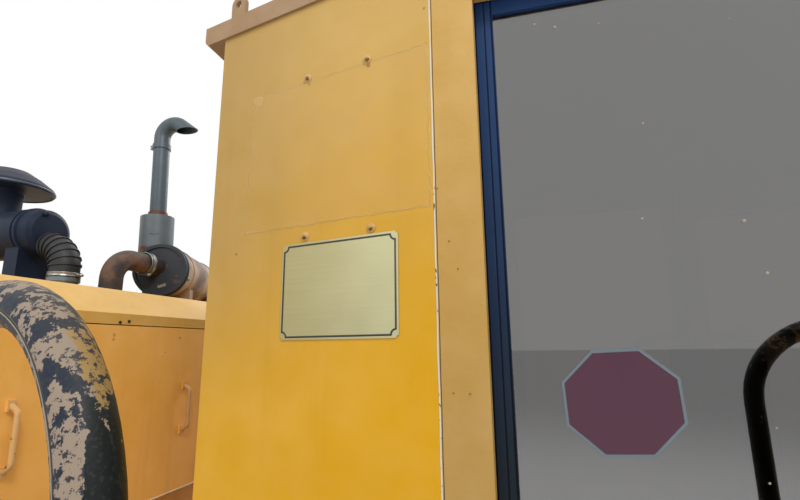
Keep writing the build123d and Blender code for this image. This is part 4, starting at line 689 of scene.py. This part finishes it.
# dark finish of seams, welds and screws, also used for a painted shadow beside the corner sealant
dark_seam_and_shadow = coated("dark_seam_and_shadow", paint(52, 44, 34), 0.8, 0.4, 0.1, 60.0, 0.0)
brass_line = coated("brass_line", paint(44, 42, 34), 0.5, 0.3, 0.1, 90.0, 0.0, dust=0.1)


def corner_line(name, x, half, rise, wobble, material):
    """A half-round bead carried up the cab's corner, on both sides of the cab."""
    foot, top, steps, knots = 704, 2322, 120, 46
    z = np.linspace(foot, top, steps)
    sway = np.interp(z, np.linspace(foot, top, knots), RNG.normal(0, wobble, knots))
    path = np.stack((x + sway, np.full_like(z, -CAB_Y), z), 1)
    angle = np.linspace(0, math.pi, 7)
    profile = np.stack((half * np.cos(angle), rise * np.sin(angle) - 0.3), 1)
    points, faces = carried_points(path, profile, (0.0, -1.0, 0.0))
    add_piece(name, ((points, faces), (mirror_y(points), faces)), material)


corner_line("corner_sealant", 99.6, 1.35, 1.0, 0.35, sealant)
# the dark bead beside the sealant is the joint between the sheets, darkened as a painted shadow
# of the sign panel's proud edge
corner_line("corner_seam_and_shadow", 102.4, 0.9, 0.5, 0.15, dark_seam_and_shadow)

BOLT_PLACES = ((259, 2164), (124, 2163), (254, 1847), (115, 1846))
right_bolts = [on_panel(u, z) for u, z in BOLT_PLACES]
# painted shadow on each bolt head: a dark spot off its middle, low and towards the cab's front
bolt_shadow_spots = [on_panel(u - 1.5, z - 1.8, 3.4) * 0.001 for u, z in BOLT_PLACES]


def bolt_tone(g, at):
    """Painted bolt heads, each with a painted shadow: a dark spot a little below its middle and
    towards the cab's front.
    """
    return spotted(g, at, paint(192, 152, 84), paint(88, 48, 14),
                   [(tuple(place), 0.0046) for place in bolt_shadow_spots], 0.95)


painted_bolt = coated("painted_bolt", bolt_tone, 0.45, 0.5, 0.3, 90.0, 0.1, dust=0.2)
for word, flip in (("right", np.asarray), ("left", mirror_y)):
    bolts(f"sign_bolts_{word}", flip(right_bolts), flip(PANEL_OUT), 6.2, 4.6, painted_bolt,
          20)


def notched(u, z, inset, notch, steps=6):
    """Rectangle whose corners are cut by quarter circles centred on the corners."""
    u, z = (u[0] + inset, u[1] - inset), (z[0] + inset, z[1] - inset)
    turn = np.linspace(0, math.pi / 2, steps)
    corners = ((u[0], z[1], -90), (u[1], z[1], 180), (u[1], z[0], 90), (u[0], z[0], 0))
    points = []
    for corner_u, corner_z, start in corners:
        angle = math.radians(start) + turn
        points.extend(zip(corner_u + notch * np.cos(angle), corner_z + notch * np.sin(angle)))
    return points


PLAQUE_U = (64.0, 303.0)
PLAQUE_Z = (1663.0, 1835.0)
line_path = [on_panel(u, z, 2.0) for u, z in notched(PLAQUE_U, PLAQUE_Z, 5.0, 9.0)]
line_profile = ((1.7, -0.4), (1.4, 0.6), (-1.4, 0.6), (-1.7, -0.4))
add_piece("plaque_line", (carried_points(line_path, line_profile, PANEL_OUT, True),),
          brass_line)


def film_sheet():
    """Old clear film on the sign panel: its outline wanders by a few millimetres, and
    its face ripples by crossed waves."""
    long, high_side, rows, columns, knots = 396.0, 290.0, 90, 70, 60
    s, t = np.meshgrid(np.linspace(0, 1, rows), np.linspace(0, 1, columns), indexing="ij")
    wander = RNG.normal(0, 0.9, (4, knots))
    left, right, low, high = (
        np.interp(np.linspace(0, 1, count), np.linspace(0, 1, knots), drawn)
        for count, drawn in zip((columns, columns, rows, rows), wander))
    u = 6.0 + left[None, :] * (1 - s) + (long + right[None, :]) * s
    z = 1868.0 + low[:, None] * (1 - t) + (high_side + high[:, None]) * t
    out = 0.7 + 0.1 * np.sin(u * 0.11 + 2 * np.sin(z * 0.045)) * np.sin(z * 0.083)
    points = on_panel(u[..., None], z[..., None], out[..., None])
    made = write_mesh("clear_film", points.reshape(-1, 3),
                      grid_faces(rows, columns, False, False))
    edge = np.minimum(np.minimum(s, 1 - s) * long, np.minimum(t, 1 - t) * high_side)
    layer = made.data.attributes.new("edge_distance", "FLOAT", "POINT")
    layer.data.foreach_set("value", edge.ravel().astype(np.float32))
    thick = made.modifiers.new("film_thickness", "SOLIDIFY")
    thick.thickness = 0.0003
    thick.offset = -1.0
    return made


def film_material():
    """Hazy film: nearly clear, milkier in patches and dirty along its edge."""
    made, g, shader = new_material("clear_film")
    at = g.place()
    edge = g.add("ShaderNodeAttribute", attribute_name="edge_distance").outputs["Fac"]
    rim = g.ramp(edge, 0.0, 5.0, 1.0, 0.0)
    haze = g.ramp(g.noise(at, 6.0, 2.0), 0.35, 0.75, 0.01, 0.1)
    dirt = g.use(SPECKS, Place=at, Size=120.0, Amount=0.3)
    skin = g.use(DRIFT, Place=at, Colour=paint(228, 196, 128), Amount=0.3)
    skin = g.mix(g.times(rim, 0.5), skin, paint(222, 190, 130))
    smudge = g.use(SPOT, Place=at, Centre=(-0.275, -0.660, 2.151), Radius=0.016)
    g.feed(g.mix(dirt, skin, paint(110, 84, 48)), shader.inputs["Base Color"])
    cover = g.plus(haze, g.times(g.plus(rim, smudge), 0.2))
    g.feed(g.plus(cover, g.times(dirt, 0.2), clamp=True), shader.inputs["Alpha"])
    g.feed(g.plus(0.4, g.times(dirt, 0.3)), shader.inputs["Roughness"])
    bumped(g, shader, g.use(GRAIN, Place=at, Fine=0.0, Dents=0.2), 1.0, 0.0005)
    return made


finish_piece(film_sheet(), "machine", film_material())


# ---- exhaust and intake fittings ----

steel_band = coated("steel_band", paint(150, 150, 146), 0.35, 0.5, 0.25, 60.0, 0.2,
                    dust=0.2, metallic=0.85)
STACK_FOOT = np.array((*STACK_AT, 2051.0))
STACK_LEAN = math.radians(2.5)
STACK_UP = np.array((-math.sin(STACK_LEAN), 0.0, math.cos(STACK_LEAN)))
TO_LEFT = np.array((-0.965, -0.261, 0.0))
TO_RIGHT = -TO_LEFT
CLAMP_AT = np.array((-1312.0, -192.0, 1904.0))      # on the hose
CLAMP_SCREW = (-0.26, 0.965, 0)
ELBOW_CLAMP_AT = (-1204.0, 49.0, 1979.0)
STRAP_AT = np.array((-1194.0, 129.7, 1963.0))
CAP_AT = (-1647.0, -192.0, 0.0)
NUT = ((0.0, 9.0), (4.2, 9.0), (5.4, 8.0), (5.4, 1.0), (8.0, 0.8), (8.0, -1.0), (3.4, -1.2),
       (3.4, -16.0), (2.6, -17.0), (0.0, -17.0))


def band_ring(origin, axis, radius, width, rise, steps=48):
    """A rolled band about a pipe: its edges curl outwards by the rise."""
    half = width / 2
    profile = ((radius - 1, -half), (radius + rise, -half), (radius + rise, -half + 2),
               (radius + rise * 0.45, -half + 4), (radius + rise * 0.45, half - 4),
               (radius + rise, half - 2), (radius + rise, half), (radius - 1, half))
    return turned_points(profile, origin, axis, steps)


# two nuts with their studs beside the stack's clamp, one above the other
clamp_side = STACK_FOOT + STACK_UP * 476.0 + TO_LEFT * 40.0
add_piece("stack_clamp_bolts", [turned_points(NUT[::-1], clamp_side + STACK_UP * step, TO_LEFT, 6)
                                for step in (-6.0, 6.0)],
          steel_band, smooth=False)
add_piece("hose_clamp", (
    band_ring(CLAMP_AT, UP, 48.0, 14.0, 2.4),
    turned_points(NUT[::-1], CLAMP_AT + TO_RIGHT * 58.0, CLAMP_SCREW, 6),
    turned_points(((0, 16), (3.6, 16), (3.6, -16), (0, -16)), CLAMP_AT + TO_RIGHT * 55.0,
                  CLAMP_SCREW, 12),
), steel_band)
add_piece("elbow_clamp", (
    band_ring(ELBOW_CLAMP_AT, (0, 1, 0), 42.0, 24.0, 3.0),
    turned_points(NUT[::-1], np.array(ELBOW_CLAMP_AT) + (20.0, 0, -44.0), (1.0, 0, 0), 6),
), steel_band)
CAP_RIM = [(148.5 + 4.5 * math.cos(a), 2249.0 + 4.5 * math.sin(a))
           for a in np.linspace(-2.6, 2.6, 9)]
add_piece("cap_rim", (turned_points(CAP_RIM, CAP_AT, UP, 72),),
          coated("cap_rim", paint(74, 86, 104), 0.35, 0.5, 0.2, 60.0, 0.2, dust=0.1))
KNOB = ((0, -6), (5, -6), (5, 4), (9, 6), (11, 10), (11, 16), (8, 20), (0, 21))
add_piece("cleaner_knob", (turned_points(KNOB, (-1404.0, -217.0, 2118.0),
                                         (0.7, -0.25, 0.66), 16),),
          MATERIALS["cleaner_paint"])

# a short dash of weld on the silencer sleeve, which leans 3 mm at that height
dash_angle = np.radians(-56.3) + np.linspace(-0.26, 0.26, 9)
dash_out = np.stack((np.cos(dash_angle), np.sin(dash_angle), np.zeros(9)), 1)
dash_path = dash_out * 66.2 + (STACK_AT[0] - 3.0, STACK_AT[1], 2117.0)
dash_path[:, 2] += 1.5 * np.cos(dash_angle * 9)
add_piece("sleeve_weld", (carried_points(dash_path, ((-1.6, -1), (0, 1.2), (1.6, -1)),
                                         dash_out),), dark_seam_and_shadow)

STRAP = ((103.2, -5), (105.4, -4), (105.8, 0), (105.4, 4), (103.2, 5))
strap_bolt = np.array((98.0, 39.3, -37.0)) / 112.0
add_piece("muffler_strap", (
    turned_points(STRAP[::-1], STRAP_AT, MUFFLER_AXIS, 64),
    turned_points(NUT[::-1], STRAP_AT + strap_bolt * 107.0, strap_bolt, 6),
), steel_band)


# ---- welded seam along the right rear handrail ----

RAIL_SIDE = np.array((-0.272, -0.962, 0.0))
RAIL_RUN = np.array((-0.962, 0.272, 0.0))


def seam_strip(name, lean, half, rise, material):
    """Strip along the tube: up the post, round the bend and along the top. Lean turns it
    about the tube, from the loop's inside towards its outer face."""
    post = np.array((POST_XS[0], -POST_Y, 0.0)) + np.linspace(672, RAIL_BEND_Z, 60)[:, None] * UP
    angle = np.linspace(0, math.pi / 2, 30)[1:, None]
    knee = post[-1] + RAIL_BEND * RAIL_RUN
    bend = knee + RAIL_BEND * (np.sin(angle) * UP - np.cos(angle) * RAIL_RUN)
    top = knee + RAIL_BEND * UP + np.linspace(8, 230, 30)[:, None] * RAIL_RUN
    angle = np.concatenate((np.zeros((60, 1)), angle, np.full((30, 1), math.pi / 2)))
    inner = np.cos(angle) * RAIL_RUN - np.sin(angle) * UP
    out = math.cos(lean) * inner + math.sin(lean) * RAIL_SIDE
    profile = ((half, -0.4), (half * 0.7, rise), (-half * 0.7, rise), (-half, -0.4))
    path = np.concatenate((post, bend, top)) + RAIL_R * out
    add_piece(name, (carried_points(path, profile, out),), material)


seam_strip("rail_seam", math.radians(88), 0.9, 0.25, dark_seam_and_shadow)
seam_strip("rail_seam_edge", math.radians(83), 0.6, 0.35,
           coated("seam_edge", paint(132, 128, 118), 0.5, 0.6, 0.4, 90.0, 0.0))


# ---- bolts and rivets of the body ----

def rows_of(first, last, count):
    """Evenly spaced points from the first to the last."""
    return [np.asarray(first, float) + (np.asarray(last, float) - first) * k / (count - 1)
            for k in range(count)]


hood_rivet = coated("hood_rivet", paint(196, 138, 66), 0.5, 0.6, 0.35, 60.0, 0.2)
for word, side in SIDES:
    y = side * (CAB_Y + 0.5)
    bolts(f"hood_rivets_{word}", rows_of((-3070, y, 1737), (-930, y, 1737), 27), (0, side, 0),
          4.2, 2.4, hood_rivet, 10)

bolts("seam_screws", ((HOOD_END_X + 0.5, -338, 1727), (HOOD_END_X + 0.5, -307, 1731)), (1, 0, 0),
      3.4, 1.6, dark_seam_and_shadow, 8)


def circle(radius, angles):
    """Points at the angles of a circle about the origin, as pairs."""
    return [(radius * math.cos(a), radius * math.sin(a)) for a in angles]


black_bolt = coated("black_bolt", paint(58, 56, 54), 0.5, 0.5, 0.4, 80.0, 0.1, metallic=0.4)
FOUR = (0.8, 2.4, 3.9, 5.5)     # turns of four bolts, not quite even
SIX = np.arange(6) * math.pi / 3
for word, side in SIDES:
    foot_bolts = [(x + a, side * (POST_Y - 10) + b, DECK_Z + 8)
                  for x in POST_XS for a, b in circle(31, FOUR)]
    box_bolts = [(x + a, side * 1011.0, AXLE_Z + b) for x in AXLE_XS for a, b in circle(60, SIX)]
    bolts(f"rail_foot_bolts_{word}", foot_bolts, UP, 6.5, 4.0, black_bolt, 6)
    bolts(f"box_cover_bolts_{word}", box_bolts, (0, side, 0), 8.0, 5.0, black_bolt,
          6)


# cheek bolts of a tamping head as (x from the head's middle, z)
CHEEK_BOLTS = ((-150, 1352), (150, 1352), (-186, 1252), (186, 1252), (-214, 1152),
               (214, 1152), (-40, 1100), (40, 1100))
DECK_XS = [x for x in np.arange(-3440, 3441, 215) if min(abs(x - at) for at in POST_XS) > 70]
for word, side in SIDES:
    cheek = [(HEAD_X + x, side * 892.0, z) for x, z in CHEEK_BOLTS]
    motor = [(HEAD_X + a, side * 920.0, 1299.4 + b) for a, b in circle(50, FOUR)]
    bolts(f"head_cheek_bolts_{word}", cheek, (0, side, 0), 9.0, 6.0, black_bolt,
          6, f"{word}_head")
    bolts(f"head_motor_bolts_{word}", motor, (0, side, 0), 4.0, 3.0, black_bolt,
          6, f"{word}_head")
    bolts(f"deck_screws_{word}", [(x, side * 1236.0, DECK_Z) for x in DECK_XS], UP, 7.0, 1.6,
          black_bolt, 8)


# ---- blank notice on the right door ----

def notice_ring(name, corner, width, rise, material):
    """Eight-sided line on the notice: corners at 22.5 + 45 k degrees, squashed upright."""
    angle = np.radians(22.5 + 45.0 * np.arange(8))
    turn = math.radians(2.5)
    a, b = corner * np.cos(angle), corner * 0.93 * np.sin(angle)
    x = NOTICE_AT[0] + a * math.cos(turn) - b * math.sin(turn)
    z = NOTICE_AT[1] + a * math.sin(turn) + b * math.cos(turn)
    path = np.stack((x, np.full(8, GLASS_Y - 1), z), 1)
    half = width / 2
    profile = ((half, -0.3), (half - 0.3, rise), (0.3 - half, rise), (-half, -0.3))
    part = carried_points(path, profile, (0, -1, 0), True)
    add_piece(name, (part,), material, "right_cab_door", False)


notice_line = coated("notice_line", paint(94, 108, 114), 0.4, 0.5, 0.3, 90.0, 0.1, dust=0.0)
notice_ring("notice_edge", 82.2, 4.4, 0.4, notice_line)


DROP = ((2.2, -0.2), (2.0, 0.3), (1.2, 0.7), (0.0, 0.8))
drops = []
for _ in range(14):
    place = (RNG.uniform(240, 820), GLASS_Y, RNG.uniform(1450, 2190))
    size = RNG.uniform(0.5, 1.3)
    drops.append(turned_points(np.array(DROP) * size, place, (0, -1, 0), 9))
add_piece("dried_drops", drops,
          coated("dried_drop", paint(150, 138, 118), 0.6, 0.5, 0.3, 90.0, 0.0, dust=0.0),
          "right_cab_door")


# ---- window rubber, lamps ----

def rounded_loop(first, second, radius, steps=6):
    """Rounded rectangle as (a, b) pairs, anticlockwise."""
    points = []
    for a, b, start in ((first[1], second[1], 0), (first[0], second[1], 90),
                        (first[0], second[0], 180), (first[1], second[0], 270)):
        centre_a = a - math.copysign(radius, a - sum(first) / 2)
        centre_b = b - math.copysign(radius, b - sum(second) / 2)
        angle = np.radians(np.linspace(start, start + 90, steps))
        points.extend(zip(centre_a + radius * np.cos(angle), centre_b + radius * np.sin(angle)))
    return np.array(points)


GASKET = ((-12, -1), (-12, 2.5), (-8, 5), (-2, 5.5), (0, 3.5), (2, 5.5), (8, 5), (12, 2.5),
          (12, -1))


def edging(name, loop, place, normal, profile=GASKET, slot="black_rubber"):
    """A profile carried round a loop of (a, b) pairs, whose points place gives: the
    rubber of a window, a lip on each side of a groove, or a cushion's sewn cord."""
    path = np.array([place(a, b) for a, b in loop])
    part = carried_points(path, profile, normal, True)
    add_piece(name, (part,), MATERIALS[slot])


side_loop = rounded_loop((930, 1470), (1330, 2180), 45)
edging("side_gasket_right", side_loop, lambda a, b: (a, -CAB_Y, b), (0, -1, 0))
edging("side_gasket_left", side_loop[::-1], lambda a, b: (a, CAB_Y, b), (0, 1, 0))
edging("front_gasket", rounded_loop((-600, 600), (1080, 2200), 20),
       lambda a, b: (FRONT_X, a, b), (1, 0, 0))
edging("rear_gasket", rounded_loop((-440, 440), (1560, 2180), 20)[::-1],
       lambda a, b: (CAB_REAR[0], a, b), (-1, 0, 0))

lens = coated("lamp_lens", paint(214, 214, 206), 0.12, 0.2, 0.1, 60.0, 0.1, dust=0.2,
              coat=0.8, fine=0.5)
LENS = ((62, -2), (63, 4), (59, 6), (56, 3), (52, 5), (40, 9), (24, 12), (8, 13), (0, 13))
LAMPS = [((1710.0, y, 2455.0), 1) for y in (-380, 380)]
LAMPS += [((s * 3486.0, y, 570.0), s) for s in (-1, 1) for y in (-900, 900)]
add_piece("lamp_lenses", [turned_points(LENS, place, (s, 0, 0), 28) for place, s in LAMPS],
          lens)


# ---- seat ----

def settled(piece, voxel, cap, floor):
    """Remeshed cushion blown up as cloth: each point moves by its simulated step, but no
    further than the cap, and never below the pan it lies on."""
    mesh = piece.modifiers.new("even_mesh", "REMESH")
    mesh.mode = "VOXEL"
    mesh.voxel_size = voxel
    graph = bpy.context.evaluated_depsgraph_get()
    even = bpy.data.meshes.new_from_object(piece.evaluated_get(graph))
    piece.modifiers.clear()
    piece.data = even
    rest = np.empty(len(even.vertices) * 3)
    even.vertices.foreach_get("co", rest)
    cloth = piece.modifiers.new("filling", "CLOTH")
    cloth.settings.quality = 4
    cloth.settings.use_pressure = True
    cloth.settings.uniform_pressure_force = 4.0
    cloth.settings.effector_weights.gravity = 0.0
    cloth.point_cache.frame_end = 20
    for step in range(1, 21):
        SCENE.frame_set(step)
    graph = bpy.context.evaluated_depsgraph_get()
    blown = np.empty_like(rest)
    piece.evaluated_get(graph).data.vertices.foreach_get("co", blown)
    piece.modifiers.clear()
    move = (blown - rest).reshape(-1, 3)
    length = np.linalg.norm(move, axis=1)[:, None]
    move *= np.minimum(1.0, cap / np.maximum(length, 1e-9))
    final = rest.reshape(-1, 3) + move
    final[:, 2] = np.maximum(final[:, 2], floor)
    even.vertices.foreach_set("co", final.ravel())
    even.update()
    SCENE.frame_set(1)
    smooth = piece.modifiers.new("soft_surface", "SUBSURF")
    smooth.levels = smooth.render_levels = 1
    even.polygons.foreach_set("use_smooth", np.ones(len(even.polygons), bool))


def slab_points(x, y, z):
    corners = [(a, b, c) for a in x for b in y for c in z]
    faces = np.array(((0, 1, 3, 2), (4, 6, 7, 5), (0, 4, 5, 1), (2, 3, 7, 6), (0, 2, 6, 4),
                      (1, 5, 7, 3)))
    return np.array(corners, float), faces


# name, ranges of x, y and z; then in metres the most a point moves and the pan's height
CUSHIONS = (("seat_base_pad", (712, 1158), (-228, 228), (1002, 1086), 0.016, 1.0),
            ("seat_back_pad", (652, 728), (-218, 218), (1112, 1648), 0.016, 1.1))
for name, x, y, z, cap, floor in CUSHIONS:
    pad = write_mesh(name, *slab_points(x, y, z), smooth=False)
    settled(pad, 0.006, cap, floor)
    finish_piece(pad, "machine", MATERIALS["seat_cover"])
    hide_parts("seat_cushions")


CORD = circle(4.0, np.linspace(0, 2 * math.pi, 8, endpoint=False)[::-1])
edging("seat_base_piping", rounded_loop((708, 1164), (-234, 234), 30),
       lambda a, b: (a, b, 1080.0), (0, 0, 1), CORD, "seat_cover")
edging("seat_back_piping", rounded_loop((-224, 224), (1106, 1654), 30),
       lambda a, b: (722.0, a, b), (1, 0, 0), CORD, "seat_cover")


# ---- wipers, hood latches, panel edge ----

FLAT = ((-5, -1.5), (-5, 1.5), (5, 1.5), (5, -1.5))


def wiper(y):
    """Boss, arm and blade lying on the front window."""
    ahead, near, far = (1, 0, 0), FRONT_X + 10, FRONT_X + 14
    boss = turned_points(((16, -2), (16, 8), (12, 12), (6, 14), (0, 14)), (FRONT_X, y, 2236),
                         ahead, 20)
    arm = carried_points(((near, y, 2236), (far, y - 8, 2100), (far, y - 60, 1760)), FLAT, ahead)
    blade = carried_points(((near, y - 120, 1560), (near, y - 60, 1760), (near, y - 20, 1900)),
                           ((-4, -6), (-2, 4), (2, 4), (4, -6)), ahead)
    return boss, arm, blade


add_piece("wipers", [part for y in (-180, 300) for part in wiper(y)],
          MATERIALS["black_rubber"], smooth=False)

LATCH = ((26, -2), (26, 3), (23, 5), (12, 6), (12, 12), (9, 14), (0, 14))
for side_word, side in SIDES:
    for end_word, x in (("rear", -2062.0), ("front", -1940.0)):
        parts = []
        for z in (960.0, 1500.0):
            parts.append(turned_points(LATCH, (x, side * (CAB_Y - 1), z), (0, side, 0), 20))
            grip = [(x, side * (CAB_Y + out), z + up)
                    for out, up in ((11, -34), (15, -20), (15, 20), (11, 34))]
            parts.append(carried_points(grip, ((-6, -3), (-4, 3), (4, 3), (6, -3)),
                                        (0, side, 0)))
        add_piece(f"hood_latches_{side_word}_{end_word}", parts, steel_band,
                  f"{side_word}_{end_word}_hood_door")

EDGE = ((-4, -1), (-3.4, 1.6), (0, 2.6), (3.4, 1.6), (4, -1))
panel_edge = rows_of((HOOD_END_X, -716, 1205), (HOOD_END_X, 716, 1205), 40)
add_piece("end_panel_edge", (carried_points(panel_edge, EDGE, (1, 0, 0)),),
          coated("panel_edge", paint(214, 182, 134), 0.5, 0.5, 0.4, 60.0, 0.2))


# ---- stage, light and camera ----

def build_stage():
    """Pale floor and a white surround; lamps overhead, to the right and in front."""
    bpy.ops.mesh.primitive_plane_add(size=300, location=(0, 0, -0.002))
    floor = bpy.context.object
    floor.name = "studio_floor"
    made, _, shader = new_material("studio_floor")
    shader.inputs["Base Color"].default_value = (0.94, 0.94, 0.94, 1.0)
    shader.inputs["Roughness"].default_value = 0.9
    floor.data.materials.append(made)
    world = bpy.data.worlds.new("studio")
    world.use_nodes = True
    SCENE.world = world
    g = Graph(world.node_tree)
    back = world.node_tree.nodes["Background"]
    back.inputs["Color"].default_value = (1.0, 1.0, 1.0, 1.0)
    path = g.add("ShaderNodeLightPath").outputs
    seen = g.math("MAXIMUM", path["Is Camera Ray"], path["Is Glossy Ray"])
    seen = g.math("MAXIMUM", seen, path["Is Transmission Ray"])
    g.feed(g.plus(0.74, g.times(seen, 0.26)), back.inputs["Strength"])
    lamps = (("key_lamp", (-3.5, -7.5, 6.5), 3.5, 130.0),
             ("side_lamp", (3.4, -5.2, 7.6), 2.2, 330.0),
             ("back_lamp", (0.0, 6.0, 6.5), 4.0, 240.0))
    for name, place, size, power in lamps:
        data = bpy.data.lights.new(name, "AREA")
        data.size = size
        data.energy = power
        lamp = bpy.data.objects.new(name, data)
        SCENE.collection.objects.link(lamp)
        lamp.location = place
        aim = -np.array(place) + np.array((0.0, 0.0, 1.4))
        lamp.rotation_euler = Vector(aim).to_track_quat("-Z", "Y").to_euler()


def build_camera():
    """Camera at the photograph's place: its axes are the columns of the turn."""
    data = bpy.data.cameras.new("photo_view")
    data.lens = 21.06
    data.sensor_width = 36.0
    data.clip_end = 200.0
    camera = bpy.data.objects.new("photo_view", data)
    SCENE.collection.objects.link(camera)
    right = np.array((0.96527845, 0.26099155, -0.01099678))
    up = np.array((0.06307765, -0.19202802, 0.97936022))
    back = np.array((0.25349306, -0.94604897, -0.20182324))
    matrix = np.eye(4)
    matrix[:3, :3] = np.stack((right, up, back), 1)
    matrix[:3, 3] = (0.230, -1.440, 1.650)
    camera.matrix_world = Matrix(matrix.tolist())
    SCENE.camera = camera


build_stage()
build_camera()
SCENE.view_settings.view_transform = "Standard"
